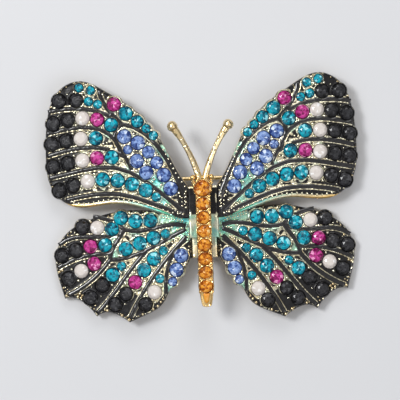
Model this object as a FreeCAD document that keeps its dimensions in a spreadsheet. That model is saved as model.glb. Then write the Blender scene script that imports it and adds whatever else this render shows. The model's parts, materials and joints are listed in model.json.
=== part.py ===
"""Butterfly brooch set with round crystal chatons, built as its maker builds it.

Two castings, each a pair of wings joined by a bridge, lie one on the other.  The body casting
stands on them, and its two posts go down through both bridges and are peened over washers.
Stones stand on their culets in blind seats.  Black enamel fills channels between the rows.
Behind the forewings are a riveted hinge with the pin stem and a catch with a turning sleeve.

+X is the viewer's right, +Y is towards the head and +Z is out of the face.  z = 0 is the
surface that the brooch lies on, and x = 0 is the middle of the body.  Sizes are millimetres.
"""
import FreeCAD, Part
import math
import os

from FreeCAD import Placement, Rotation, Vector

SIZES = (
    # stones
    ("large_stone_dia", 2.66),
    ("medium_stone_dia", 2.35),
    ("small_stone_dia", 1.70),
    ("body_stone_dia", 2.40),
    ("head_stone_dia", 3.00),
    ("stone_web", 0.12),  # metal between two neighbouring girdles
    ("row_spacer", 0.40),  # the wider web where a row skips a little
    ("drawn_pitch", 2.78),  # the stone pitch that the wing plans below are drawn for
    ("drawn_root", 2.60),  # the x of the wing root in those plans
    ("drawn_middle", 0.35),  # the y of the brooch's middle in those plans
    ("pavilion_share", 0.36),  # heights of a chaton, as shares of its diameter
    ("girdle_share", 0.04),
    ("crown_share", 0.19),
    ("table_share", 0.56),
    ("culet_share", 0.22),
    ("seat_clearance", 0.02),
    ("girdle_drop", 0.06),  # top of the girdle below the metal's face
    # wing castings
    ("wing_thickness", 1.60),
    ("wing_tilt", 6.9),  # degrees down from the bridge to the tip
    ("root_gap", 1.10),  # from the body's side to the bend of the forewings
    ("hind_bend_inset", 0.40),  # the hindwings bend nearer the body, so they lie clear
    ("edge_rim", 0.30),  # metal outside a stone at a wing's edge
    ("seat_wall", 0.08),  # metal between a seat and an enamel channel
    ("vein_width", 0.78),
    ("channel_depth", 0.35),
    ("enamel_drop", 0.05),
    ("enamel_clearance", 0.02),
    # body casting
    ("body_wall", 0.30),
    ("body_depth", 1.75),
    ("head_y", 1.75),
    ("head_collar", 0.30),
    ("head_length", 1.65),  # from the head stone's middle to the face that holds the eyes
    ("head_width", 4.10),
    ("brow_length", 0.85),  # the bar behind that face
    ("nose_length", 0.40),  # the block in front of it, which holds the antennae
    ("nose_width", 2.10),
    ("tail_length", 2.60),
    ("tail_tip_width", 0.70),
    ("tail_wall", 0.25),
    # rivets
    ("post_dia", 1.60),
    ("post_clearance", 0.05),
    ("post_y", -0.85),
    ("post_spacing", 4.50),
    ("bridge_margin", 0.90),  # bridge metal beyond a post
    ("washer_dia", 3.00),
    ("washer_thickness", 0.30),
    ("rivet_head_dia", 2.30),
    ("rivet_head_height", 0.40),
    # antennae and eyes
    ("antenna_wire", 1.10),
    ("antenna_ball", 2.00),
    ("antenna_collar_dia", 1.50),
    ("antenna_collar_length", 0.40),
    ("antenna_root_x", 0.60),
    ("antenna_standoff", 0.16),  # the leaning wire starts this far in front of the nose
    ("antenna_lean", 14.0),  # degrees outward where it leaves the head
    ("antenna_bend_radius", 25.5),
    ("antenna_length", 9.50),
    ("antenna_peg_dia", 0.60),
    ("antenna_peg", 0.50),
    ("peg_fit", 0.03),
    ("eye_dia", 0.95),
    ("eye_spacing", 3.40),
    ("eye_peg_dia", 0.45),
    ("eye_peg_length", 0.60),
    # pin, hinge and catch
    ("pin_y", 3.70),
    ("pin_dia", 0.75),
    ("hinge_x", 13.00),
    ("catch_x", 13.00),
    ("pin_overrun", 1.90),  # pin beyond the middle of the catch
    ("pin_point", 2.20),
    ("eye_ring_dia", 2.00),
    ("eye_ring_width", 0.90),
    ("pivot_dia", 0.66),
    ("pivot_fit", 0.01),
    ("running_clearance", 0.03),
    ("side_clearance", 0.05),
    ("ear_thickness", 0.50),
    ("pivot_head_dia", 1.20),
    ("pivot_head_height", 0.25),
    ("finding_radius", 1.20),  # hinge ears and catch sleeve, which touch the surface
    ("foot_thickness", 0.50),
    ("foot_length", 4.20),
    ("foot_width", 2.60),
    ("pin_room", 0.12),
    ("barrel_wall", 0.35),
    ("sleeve_length", 1.30),
    ("cheek_thickness", 0.35),
    ("slot_room", 0.06),
    ("lever_reach", 1.70),
    ("lever_thickness", 0.40),
    ("lever_angle", -30.0),  # degrees from +Y when the sleeve is open
)

# Stones by letter: colour and size.  A dot in a row's pattern widens the web there.
KINDS = {
    "J": ("jet", "large"),
    "O": ("opal", "large"),
    "F": ("fuchsia", "large"),
    "T": ("teal", "large"),
    "N": ("teal", "medium"),
    "t": ("teal", "small"),
    "S": ("sapphire", "large"),
    "M": ("sapphire", "medium"),
    "s": ("sapphire", "small"),
}
COLOURS = ("jet", "opal", "fuchsia", "teal", "sapphire")

# Wing plans for the right-hand side, drawn in millimetres at the drawn pitch.  A row runs
# from the wing's edge inward, its first stone on the first point.
FOREWING_EDGE = (
    (
        (2.6, 2.6), (5.0, 6.6), (7.8, 12.2), (11.5, 16.7), (17.2, 20.7), (22.2, 22.8),
        (26.0, 21.1), (28.3, 15.8), (28.8, 9.6), (27.8, 3.0), (24.3, -0.2), (17.0, -0.1),
        (10.0, -1.4), (4.6, -3.1), (2.6, -3.3),
    ),
)
FOREWING_ROWS = (
    ("t.t", ((22.05, 21.55), (19.96, 20.98), (18.0, 20.4))),
    ("FTNtt", ((15.65, 18.25), (13.5, 16.45), (11.2, 14.7), (7.4, 10.6))),
    ("J.Jtt", ((25.85, 19.25), (22.6, 19.25), (20.3, 18.9), (18.0, 18.0))),
    ("JJOFT", ((27.1, 15.05), (24.2, 15.7), (19.0, 15.6), (15.2, 13.6))),
    ("JJOT", ((27.55, 11.3), (24.9, 11.85), (22.3, 12.1), (17.5, 12.0))),
    ("JJOFT", ((27.4, 7.15), (24.7, 7.65), (19.3, 8.45), (15.0, 8.4))),
    ("JJOTTTTt", ((26.4, 2.75), (23.9, 3.6), (18.3, 4.45), (12.7, 3.35), (7.6, 0.1))),
    ("SSMMSS", ((13.95, 12.2), (11.35, 10.9), (7.95, 6.9), (4.9, 0.6))),
    ("s.SS", ((13.4, 9.8), (11.85, 7.7), (9.2, 4.3))),
)
FOREWING_VEINS = (
    ((18.3, 21.0), (17.6, 18.6), (16.2, 16.6), (14.3, 14.5)),
    ((14.3, 14.5), (11.1, 13.3), (6.6, 8.35), (2.9, 0.3)),
    ((28.0, 17.3), (25.4, 17.7), (19.0, 17.1), (14.3, 14.5)),
    ((28.4, 13.3), (25.4, 13.9), (19.1, 13.9), (15.3, 11.2)),
    ((28.3, 9.2), (25.6, 9.9), (19.4, 10.4), (14.1, 8.5)),
    ((28.2, 5.1), (23.1, 6.1), (15.2, 6.4), (9.5, 3.2), (3.4, -2.0)),
    ((14.3, 14.5), (15.7, 12.7), (14.4, 9.2), (12.8, 6.0)),
    ((25.2, 0.9), (20.5, 1.7), (15.0, 1.6), (9.9, 0.0), (3.4, -2.6)),
)
HINDWING_EDGE = (
    (
        (2.6, -2.2), (8.0, -1.8), (14.5, -1.4), (21.5, -3.0), (25.6, -5.3), (27.7, -9.2),
        (27.1, -14.4), (26.3, -17.3),
    ),
    ((26.3, -17.3), (24.4, -17.3), (22.6, -18.3), (20.4, -20.8)),
    ((20.4, -20.8), (18.5, -20.1), (16.4, -20.7), (14.3, -22.1)),
    ((14.3, -22.1), (11.4, -20.9), (8.2, -19.0), (6.6, -16.3), (4.0, -12.9), (2.6, -10.6)),
)
HINDWING_ROWS = (
    ("TTT", ((15.2, -2.75), (12.5, -3.45), (8.5, -3.2))),
    ("JOT", ((22.45, -4.2), (19.65, -4.4), (15.8, -4.95))),
    ("JJFT", ((26.45, -9.3), (23.7, -8.4), (20.9, -7.75), (17.3, -7.8))),
    ("JOF", ((25.4, -13.65), (22.95, -12.25), (19.3, -10.5))),
    ("TTTt", ((14.5, -8.5), (11.9, -7.55), (5.5, -5.5))),
    ("J.JTt", ((21.45, -17.3), (19.05, -15.0), (14.4, -10.8))),
    ("JJFTTt", ((16.85, -18.7), (14.8, -16.8), (11.1, -12.4), (6.4, -8.4))),
    ("JO.t", ((11.2, -18.85), (9.5, -16.7), (8.1, -13.3))),
    ("SSs", ((4.25, -10.1), (5.25, -12.8), (6.3, -15.7))),
)
HINDWING_VEINS = (
    ((20.4, -2.3), (17.4, -3.1), (14.6, -4.95)),
    ((3.2, -4.6), (7.2, -4.5), (11.0, -5.2), (14.6, -4.95)),
    ((27.0, -7.3), (22.0, -5.95), (18.0, -6.1), (14.6, -4.95)),
    ((14.6, -4.95), (15.6, -6.4), (16.8, -8.2), (17.5, -10.4)),
    ((27.4, -11.6), (22.8, -9.7), (17.0, -9.3)),
    ((17.5, -10.4), (13.4, -9.9), (9.6, -8.4), (3.2, -5.3)),
    ((25.6, -16.7), (22.3, -14.9), (17.5, -10.4)),
    ((20.2, -20.1), (16.6, -16.1), (13.4, -12.0), (10.6, -9.0)),
    ((14.2, -21.3), (11.3, -16.3), (7.9, -11.7), (3.2, -6.6)),
    ((7.3, -17.0), (7.1, -13.6), (5.6, -9.5), (3.2, -7.1)),
)
VEIN_STEPS = 9  # straight lengths along one vein

BODY_STONES = 7
SIDES = (("left", -1), ("right", 1))
EPSILON = 1e-6

doc = FreeCAD.newDocument("ButterflyBrooch")
sheet = doc.addObject("Spreadsheet::Sheet", "Sizes")
for line, (alias, value) in enumerate(SIZES, 1):
    sheet.set("A%d" % line, alias)
    sheet.set("B%d" % line, repr(value))
    sheet.setAlias("B%d" % line, alias)
doc.recompute()


def size(name):
    """The number in the sheet's cell of that name."""
    return float(sheet.get(name))


def make(kind, name, **expressions):
    """A document object whose properties are bound to the sheet."""
    item = doc.addObject(kind, name)
    for prop, expression in expressions.items():
        item.setExpression(prop, expression)
    return item


def cylinder(name, radius, height, base, axis=Vector(0, 0, 1)):
    """A cylinder from a base point along an axis, its sizes bound to the sheet."""
    item = make("Part::Cylinder", name, Radius=radius, Height=height)
    item.Placement = Placement(base, Rotation(Vector(0, 0, 1), axis))
    return item


def box(name, low, high):
    """A box between two corners."""
    item = doc.addObject("Part::Box", name)
    item.Length, item.Width, item.Height = high - low
    item.Placement.Base = low
    return item


def feature(name, shape, placement=Placement()):
    """A shape made with Part's own functions, then placed."""
    item = doc.addObject("Part::Feature", name)
    item.Shape = shape
    item.Placement = placement
    return item


def extrusion(name, face, length, placement):
    """A flat face feature pushed up by a length from the sheet."""
    item = make("Part::Extrusion", name, LengthFwd=length)
    item.Base = face
    item.DirMode = "Custom"
    item.Dir = Vector(0, 0, 1)
    item.Solid = True
    item.Placement = placement
    return item


def fuse(name, items):
    item = doc.addObject("Part::MultiFuse", name)
    item.Shapes = items
    return item


def cut(name, base, tools):
    """One object less several, which don't overlap each other."""
    group = doc.addObject("Part::Compound", name + "_tools")
    group.Links = tools
    item = doc.addObject("Part::Cut", name)
    item.Base = base
    item.Tool = group
    return item


kept = {}


def keep(label, item):
    """Name a finished sub-part."""
    item.Label = label
    kept[label] = item


# Derived places, each from the values above.
PITCH_SCALE = (size("large_stone_dia") + size("stone_web")) / size("drawn_pitch")
BODY_HALF = size("body_stone_dia") / 2 + size("body_wall")
BEND = BODY_HALF + size("root_gap")
TILT = math.radians(size("wing_tilt"))
THICKNESS = size("wing_thickness")


def plan(point, side, inset):
    """A drawn point in a wing's own plane, whose zero is the bend."""
    x, y = point
    out = (x - size("drawn_root")) * PITCH_SCALE + inset
    return Vector(side * out, (y - size("drawn_middle")) * PITCH_SCALE, 0)


def curve_through(points):
    curve = Part.BSplineCurve()
    curve.interpolate(points)
    return curve


def row_stones(pattern, points):
    """The stones of one row: each centre a web away from the one before, along the curve."""
    curve = curve_through(points)
    at, last = curve.FirstParameter, curve.LastParameter
    centre, reach, extra, stones = curve.value(at), None, 0.0, []
    for letter in pattern:
        if letter == ".":
            extra = size("row_spacer")
            continue
        colour, kind = KINDS[letter]
        radius = size(kind + "_stone_dia") / 2
        if reach is not None:
            wanted = reach + radius + size("stone_web") + extra
            low, high = at, last
            while high - low > EPSILON:
                middle = (low + high) / 2
                if (curve.value(middle) - centre).Length < wanted:
                    low = middle
                else:
                    high = middle
            at, extra = high, 0.0
            centre = curve.value(at)
        reach = radius
        stones.append((colour, kind, centre))
    return stones


def disc(centre, radius):
    return Part.Face(Part.Wire(Part.makeCircle(radius, centre)))


def wing_face(edge, side, inset, stones):
    """The wing's plan: its edge, let out round each stone by a rim."""
    arcs = [curve_through([plan(p, side, inset) for p in run]).toShape() for run in edge]
    first, last = plan(edge[0][0], side, inset), plan(edge[-1][-1], side, inset)
    corners = [last, Vector(0, last.y, 0), Vector(0, first.y, 0), first]
    sides = [Part.makeLine(a, b) for a, b in zip(corners, corners[1:]) if (b - a).Length > EPSILON]
    outline = Part.Face(Part.Wire(arcs + sides))
    rims = [disc(c, size(k + "_stone_dia") / 2 + size("edge_rim")) for _, k, c in stones]
    return outline.multiFuse(rims).removeSplitter()


def vein_face(veins, side, inset, stones, clearance):
    """Bands of even width along the veins, kept clear of the seats, without crumbs."""
    half = size("vein_width") / 2 - clearance
    bands = []
    for points in veins:
        curve = curve_through([plan(p, side, inset) for p in points])
        low, high = curve.FirstParameter, curve.LastParameter
        left, right = [], []
        for step in range(VEIN_STEPS + 1):
            at = low + (high - low) * step / VEIN_STEPS
            along = Vector(*curve.tangent(at)[0])
            across = Vector(-along.y, along.x, 0) * half
            left.append(curve.value(at) + across)
            right.append(curve.value(at) - across)
        ring = left + right[::-1]
        flat = Part.Face(Part.makePolygon(ring + ring[:1]))
        bands.append(flat.extrude(Vector(0, 0, 1)))
    margin = size("seat_clearance") + size("seat_wall") + clearance
    seats = [Part.makeCylinder(size(k + "_stone_dia") / 2 + margin, 1, c) for _, k, c in stones]
    web = bands[0].multiFuse(bands[1:]).removeSplitter().cut(Part.makeCompound(seats)).removeSplitter()
    floor = [face for face in web.Faces if face.BoundBox.ZMax < EPSILON * 1000]
    crumb = size("vein_width") ** 2
    return Part.makeCompound([face for face in floor if face.Area > crumb])


def seat_depth(kind):
    shares = size("pavilion_share") + size("girdle_share")
    return size(kind + "_stone_dia") * shares + size("girdle_drop")


def seat_tools(stones, face_z):
    """Blind seats, open above the metal's face."""
    seats = []
    for _, kind, centre in stones:
        radius = size(kind + "_stone_dia") / 2 + size("seat_clearance")
        depth = seat_depth(kind)
        seats.append(Part.makeCylinder(radius, depth + 1, centre + Vector(0, 0, face_z - depth)))
    return Part.makeCompound(seats)


def chaton(kind):
    """A round chaton standing on its culet: pavilion, girdle and crown."""
    dia = "Sizes.%s_stone_dia" % kind
    name = kind.capitalize()
    pavilion = make(
        "Part::Cone", name + "Pavilion",
        Radius1="%s * Sizes.culet_share / 2" % dia,
        Radius2="%s / 2" % dia,
        Height="%s * Sizes.pavilion_share" % dia,
    )
    girdle = make(
        "Part::Cylinder", name + "Girdle",
        Radius="%s / 2" % dia,
        Height="%s * Sizes.girdle_share" % dia,
    )
    girdle.setExpression("Placement.Base.z", "%s * Sizes.pavilion_share" % dia)
    crown = make(
        "Part::Cone", name + "Crown",
        Radius1="%s / 2" % dia,
        Radius2="%s * Sizes.table_share / 2" % dia,
        Height="%s * Sizes.crown_share" % dia,
    )
    heights = "%s * (Sizes.pavilion_share + Sizes.girdle_share)" % dia
    crown.setExpression("Placement.Base.z", heights)
    return fuse(name + "Chaton", [pavilion, girdle, crown])


masters = {kind: chaton(kind) for kind in ("large", "medium", "small", "body", "head")}
doc.recompute()


def stone_group(name, stones, face_z, placement):
    """Stones of one colour, each on the floor of its own seat."""
    solids = []
    for _, kind, centre in stones:
        one = masters[kind].Shape.copy()
        one.translate(centre + Vector(0, 0, face_z - seat_depth(kind)))
        solids.append(one)
    return feature(name, Part.makeCompound(solids), placement)


def wing_stones(rows, side, inset):
    stones = []
    for pattern, points in rows:
        stones += row_stones(pattern, [plan(p, side, inset) for p in points])
    return stones


# The wings in their own planes.
WINGS = {
    "forewing": (FOREWING_EDGE, FOREWING_ROWS, FOREWING_VEINS, 0.0),
    "hindwing": (HINDWING_EDGE, HINDWING_ROWS, HINDWING_VEINS, size("hind_bend_inset")),
}
hind_edge, hind_rows, _, hind_inset = WINGS["hindwing"]
hind_reach = wing_face(hind_edge, 1, hind_inset, wing_stones(hind_rows, 1, hind_inset))
HIND_BOTTOM = hind_reach.BoundBox.XMax * math.sin(TILT)
FORE_BOTTOM = HIND_BOTTOM + THICKNESS
BODY_BOTTOM = FORE_BOTTOM + THICKNESS
BODY_TOP = BODY_BOTTOM + size("body_depth")
POSTS = (size("post_y"), size("post_y") - size("post_spacing"))
BRIDGE_HALF = THICKNESS * math.sin(TILT)  # beyond the bend, so that it closes the bend's wedge
POST_EDGE = size("washer_dia") / 2 + size("bridge_margin") / 2


def wing_placement(wing, side):
    inset = WINGS[wing][3]
    bottom = FORE_BOTTOM if wing == "forewing" else HIND_BOTTOM
    turn = Rotation(Vector(0, 1, 0), side * size("wing_tilt"))
    return Placement(Vector(side * (BEND - inset), 0, bottom), turn)


def bridge_span(wing):
    """The bridge's y from back to front: past both posts and along the wing's root."""
    edge = WINGS[wing][0]
    front, back = plan(edge[0][0], 1, 0).y, plan(edge[-1][-1], 1, 0).y
    return min(back, POSTS[1] - POST_EDGE), max(front, POSTS[0] + POST_EDGE)


def wing_casting(wing):
    """Both wings of a pair with their bridge, less seats, channels and post holes."""
    edge, rows, veins, inset = WINGS[wing]
    name = wing.capitalize()
    bottom = FORE_BOTTOM if wing == "forewing" else HIND_BOTTOM
    metal, tools = [], []
    for word, side in SIDES:
        tag = name + word.capitalize()
        place = wing_placement(wing, side)
        stones = wing_stones(rows, side, inset)
        face = feature(tag + "Plan", wing_face(edge, side, inset, stones))
        metal.append(extrusion(tag + "Plate", face, "Sizes.wing_thickness", place))
        tools.append(feature(tag + "Seats", seat_tools(stones, THICKNESS), place))
        channel = feature(tag + "Channel", vein_face(veins, side, inset, stones, 0.0))
        lift = Placement(Vector(0, 0, THICKNESS - size("channel_depth")), Rotation())
        tools.append(extrusion(tag + "Groove", channel, "Sizes.channel_depth * 2", place * lift))
        slip = size("enamel_clearance")
        fill = feature(tag + "Fill", vein_face(veins, side, inset, stones, slip))
        enamel = extrusion(tag + "Enamel", fill, "Sizes.channel_depth - Sizes.enamel_drop", place * lift)
        keep("enamel_%s_%s" % (wing, word), enamel)
        for colour in COLOURS:
            chosen = [s for s in stones if s[0] == colour]
            label = "%s_stones_%s_%s" % (colour, wing, word)
            keep(label, stone_group(label + "_set", chosen, THICKNESS, place))
    half = BEND - inset + BRIDGE_HALF
    back, front = bridge_span(wing)
    metal.append(box(name + "Bridge", Vector(-half, back, bottom), Vector(half, front, bottom + THICKNESS)))
    for number, y in enumerate(POSTS, 1):
        tools.append(
            cylinder(
                "%sPostHole%d" % (name, number),
                "Sizes.post_dia / 2 + Sizes.post_clearance",
                "Sizes.wing_thickness * 3",
                Vector(0, y, bottom - THICKNESS),
            )
        )
    keep(wing + "_casting", cut(name + "Casting", fuse(name + "Metal", metal), tools))


def body_stones():
    """The head stone, then the row of body stones behind it."""
    y = size("head_y")
    stones = [("amber", "head", Vector(0, y, 0))]
    y -= size("head_stone_dia") / 2 + size("body_stone_dia") / 2 + size("stone_web")
    for _ in range(BODY_STONES):
        stones.append(("amber", "body", Vector(0, y, 0)))
        y -= size("body_stone_dia") + size("stone_web")
    return stones


def tapered(name, y_wide, y_tip, half_wide, half_tip):
    """A flat tapering plan, for the tail and its enamel."""
    corners = [
        Vector(-half_wide, y_wide, 0), Vector(half_wide, y_wide, 0),
        Vector(half_tip, y_tip, 0), Vector(-half_tip, y_tip, 0),
    ]
    return feature(name, Part.Face(Part.makePolygon(corners + corners[:1])))


def antenna_path(side):
    """The antenna's centre line, one long arc bowing outward, and its ends and headings."""
    lean = math.radians(size("antenna_lean"))
    radius = size("antenna_bend_radius")
    front = size("head_y") + size("head_length") + size("nose_length")
    z = BODY_BOTTOM + size("body_depth") / 2
    start = Vector(side * size("antenna_root_x"), front + size("antenna_standoff"), z)
    end_angle = lean + size("antenna_length") / radius

    def heading(angle):
        return Vector(side * math.sin(angle), math.cos(angle), 0)

    def on_arc(angle):
        x = radius * (math.cos(lean) - math.cos(angle))
        return start + Vector(side * x, radius * (math.sin(angle) - math.sin(lean)), 0)

    end = on_arc(end_angle)
    arc = Part.Arc(start, on_arc((lean + end_angle) / 2), end).toShape()
    return Part.Wire([arc]), start, heading(lean), end, heading(end_angle)


def antenna_foot(side):
    """The inner end of the antenna's peg."""
    _, start, heading, _, _ = antenna_path(side)
    return start - heading * size("antenna_peg")


def body_casting():
    stones = body_stones()
    last = stones[-1][2].y
    tail_start = last - size("body_stone_dia") / 2
    base = Placement(Vector(0, 0, BODY_BOTTOM), Rotation())
    trunk = box(
        "BodyTrunk", Vector(-BODY_HALF, tail_start, BODY_BOTTOM),
        Vector(BODY_HALF, size("head_y"), BODY_TOP),
    )
    collar = cylinder(
        "HeadCollar", "Sizes.head_stone_dia / 2 + Sizes.head_collar", "Sizes.body_depth",
        Vector(0, size("head_y"), BODY_BOTTOM),
    )
    half_head = size("head_width") / 2
    face = size("head_y") + size("head_length")
    brow = box(
        "Brow", Vector(-half_head, face - size("brow_length"), BODY_BOTTOM),
        Vector(half_head, face, BODY_TOP),
    )
    half_nose = size("nose_width") / 2
    nose = box(
        "Nose", Vector(-half_nose, size("head_y"), BODY_BOTTOM),
        Vector(half_nose, face + size("nose_length"), BODY_TOP),
    )
    tip = tail_start - size("tail_length")
    tail_plan = tapered("TailPlan", tail_start, tip, BODY_HALF, size("tail_tip_width") / 2)
    tail = extrusion("Tail", tail_plan, "Sizes.body_depth", base)
    metal = [trunk, collar, brow, nose, tail]
    for number, y in enumerate(POSTS, 1):
        foot = HIND_BOTTOM - size("washer_thickness")
        metal.append(
            cylinder(
                "Post%d" % number, "Sizes.post_dia / 2",
                "2 * Sizes.wing_thickness + Sizes.washer_thickness + Sizes.body_depth / 4",
                Vector(0, y, foot),
            )
        )
        peened = Vector(0, y, foot - size("rivet_head_height"))
        metal.append(
            cylinder("RivetHead%d" % number, "Sizes.rivet_head_dia / 2", "Sizes.rivet_head_height", peened)
        )
    tools = [feature("BodySeats", seat_tools(stones, size("body_depth")), base)]
    wall = size("tail_wall")
    # The recess keeps an even wall inside the tail's sloping sides.
    slope = (BODY_HALF - size("tail_tip_width") / 2) / size("tail_length")
    wall_across = wall * math.hypot(1, slope)
    near, far = tail_start - wall, tip + 2 * wall
    wide = BODY_HALF - wall * slope - wall_across
    thin = wide - slope * (near - far)
    slip = size("enamel_clearance")
    lift = Placement(Vector(0, 0, BODY_TOP - size("channel_depth")), Rotation())
    recess = tapered("TailRecess", near, far, wide, thin)
    tools.append(extrusion("TailGroove", recess, "Sizes.channel_depth * 2", lift))
    fill = tapered("TailFill", near - slip, far + slip, wide - 2 * slip, thin - 2 * slip)
    keep("tail_enamel", extrusion("TailEnamel", fill, "Sizes.channel_depth - Sizes.enamel_drop", lift))
    for word, side in SIDES:
        heading = antenna_path(side)[2]
        tools.append(
            cylinder(
                "AntennaHole" + word.capitalize(), "Sizes.antenna_peg_dia / 2 + Sizes.peg_fit",
                "Sizes.antenna_peg * 2", antenna_foot(side), heading,
            )
        )
        eye = eye_centre(side)
        tools.append(
            cylinder(
                "EyeHole" + word.capitalize(), "Sizes.eye_peg_dia / 2 + Sizes.peg_fit",
                "Sizes.eye_peg_length * 2", Vector(eye.x, face - size("eye_peg_length"), eye.z),
                Vector(0, 1, 0),
            )
        )
    keep("body_casting", cut("BodyCasting", fuse("BodyMetal", metal), tools))
    keep("amber_stone_head", stone_group("HeadStone", stones[:1], size("body_depth"), base))
    keep("amber_stones_body", stone_group("BodyStones", stones[1:], size("body_depth"), base))


def eye_centre(side):
    front = size("head_y") + size("head_length")
    z = BODY_TOP - size("eye_dia") / 2
    return Vector(side * size("eye_spacing") / 2, front + size("eye_dia") / 2, z)


def eyes():
    """Two beads, each on a peg in the front of the head."""
    beads = []
    for word, side in SIDES:
        centre = eye_centre(side)
        ball = make("Part::Sphere", "Eye" + word.capitalize(), Radius="Sizes.eye_dia / 2")
        ball.Placement.Base = centre
        reach = Vector(0, size("eye_dia") / 2 + size("eye_peg_length"), 0)
        peg = cylinder(
            "EyePeg" + word.capitalize(), "Sizes.eye_peg_dia / 2",
            "Sizes.eye_peg_length + Sizes.eye_dia / 2", centre - reach, Vector(0, 1, 0),
        )
        beads.append(fuse("EyeBead" + word.capitalize(), [ball, peg]))
    pair = doc.addObject("Part::Compound", "EyeBeads")
    pair.Links = beads
    keep("eye_beads", pair)


def antenna(word, side):
    """A wire on a peg, with a ball on a collar at its end."""
    path, start, heading, end, end_heading = antenna_path(side)
    tag = "Antenna" + word.capitalize()
    spine = feature(tag + "Path", path)
    ring = feature(tag + "Ring", Part.Wire(Part.makeCircle(size("antenna_wire") / 2, start, heading)))
    wire = doc.addObject("Part::Sweep", tag + "Wire")
    wire.Sections = [ring]
    wire.Spine = spine
    wire.Solid = True
    peg = cylinder(
        tag + "Peg", "Sizes.antenna_peg_dia / 2", "Sizes.antenna_peg + Sizes.antenna_wire / 2",
        antenna_foot(side), heading,
    )
    collar = cylinder(
        tag + "Collar", "Sizes.antenna_collar_dia / 2", "Sizes.antenna_collar_length",
        end - end_heading * size("antenna_collar_length") / 2, end_heading,
    )
    ball = make("Part::Sphere", tag + "Ball", Radius="Sizes.antenna_ball / 2")
    ball.Placement.Base = end + end_heading * size("antenna_ball") / 2
    keep("antenna_" + word, fuse(tag, [peg, wire, collar, ball]))


def washers():
    """One washer under each post, where it is peened."""
    rings = []
    for number, y in enumerate(POSTS, 1):
        low = Vector(0, y, HIND_BOTTOM - size("washer_thickness"))
        outer = cylinder("Washer%d" % number, "Sizes.washer_dia / 2", "Sizes.washer_thickness", low)
        hole = cylinder(
            "WasherHole%d" % number, "Sizes.post_dia / 2 + Sizes.post_clearance",
            "Sizes.washer_thickness", low,
        )
        rings.append(cut("WasherRing%d" % number, outer, [hole]))
    pair = doc.addObject("Part::Compound", "Washers")
    pair.Links = rings
    keep("rivet_washers", pair)


PIN_Z = size("finding_radius")
ALONG_X, ALONG_Y = Vector(1, 0, 0), Vector(0, 1, 0)


def finding_foot(tag, x, half_length):
    """A block up to the forewing's back, cut off flush with that tilted face."""
    side = math.copysign(1, x)
    half = size("foot_width") / 2
    back_z = FORE_BOTTOM - (abs(x) - BEND) * math.tan(TILT)
    drop = half_length * math.tan(TILT)
    low_z = back_z - drop - size("foot_thickness")
    low = Vector(x - half_length, size("pin_y") - half, low_z)
    block = box(tag + "Foot", low, Vector(x + half_length, size("pin_y") + half, FORE_BOTTOM))
    above = doc.addObject("Part::Box", tag + "Wing")
    reach = abs(x) + half_length * 2
    above.Length, above.Width, above.Height = reach, size("foot_width") * 2, FORE_BOTTOM * 2
    start = Vector(0 if side > 0 else -reach, size("pin_y") - size("foot_width"), 0)
    above.Placement = wing_placement("forewing", side) * Placement(start, Rotation())
    return block, above, low_z


def upright(tag, x_middle, y_middle, half_x, half_y, top):
    """A leg from the pin's height up into the foot."""
    low = Vector(x_middle - half_x, y_middle - half_y, PIN_Z)
    return box(tag, low, Vector(x_middle + half_x, y_middle + half_y, top))


def hinge():
    x, y = -size("hinge_x"), size("pin_y")
    foot, wing, foot_z = finding_foot("Hinge", x, size("foot_length") / 2)
    inner = size("eye_ring_width") / 2 + size("side_clearance")
    outer = inner + size("ear_thickness")
    metal = [foot]
    for number, low_y in enumerate((y + inner, y - outer), 1):
        metal.append(
            cylinder(
                "EarRound%d" % number, "Sizes.finding_radius", "Sizes.ear_thickness",
                Vector(x, low_y, PIN_Z), ALONG_Y,
            )
        )
        middle = low_y + size("ear_thickness") / 2
        top = foot_z + size("foot_thickness") / 2
        leg = upright(
            "EarLeg%d" % number, x, middle, size("finding_radius"), size("ear_thickness") / 2, top
        )
        metal.append(leg)
    hole = cylinder(
        "PivotHole", "Sizes.pivot_dia / 2 + Sizes.pivot_fit", "Sizes.foot_width * 2",
        Vector(x, y - size("foot_width"), PIN_Z), ALONG_Y,
    )
    keep("hinge_base", cut("HingeBase", fuse("HingeMetal", metal), [wing, hole]))
    length = "Sizes.eye_ring_width + 2 * Sizes.side_clearance + 2 * Sizes.ear_thickness"
    shank = cylinder("PivotShank", "Sizes.pivot_dia / 2", length, Vector(x, y - outer, PIN_Z), ALONG_Y)
    heads = [shank]
    for number, low_y in enumerate((y + outer, y - outer - size("pivot_head_height")), 1):
        heads.append(
            cylinder(
                "PivotHead%d" % number, "Sizes.pivot_head_dia / 2", "Sizes.pivot_head_height",
                Vector(x, low_y, PIN_Z), ALONG_Y,
            )
        )
    keep("hinge_pivot", fuse("HingePivot", heads))


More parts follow.
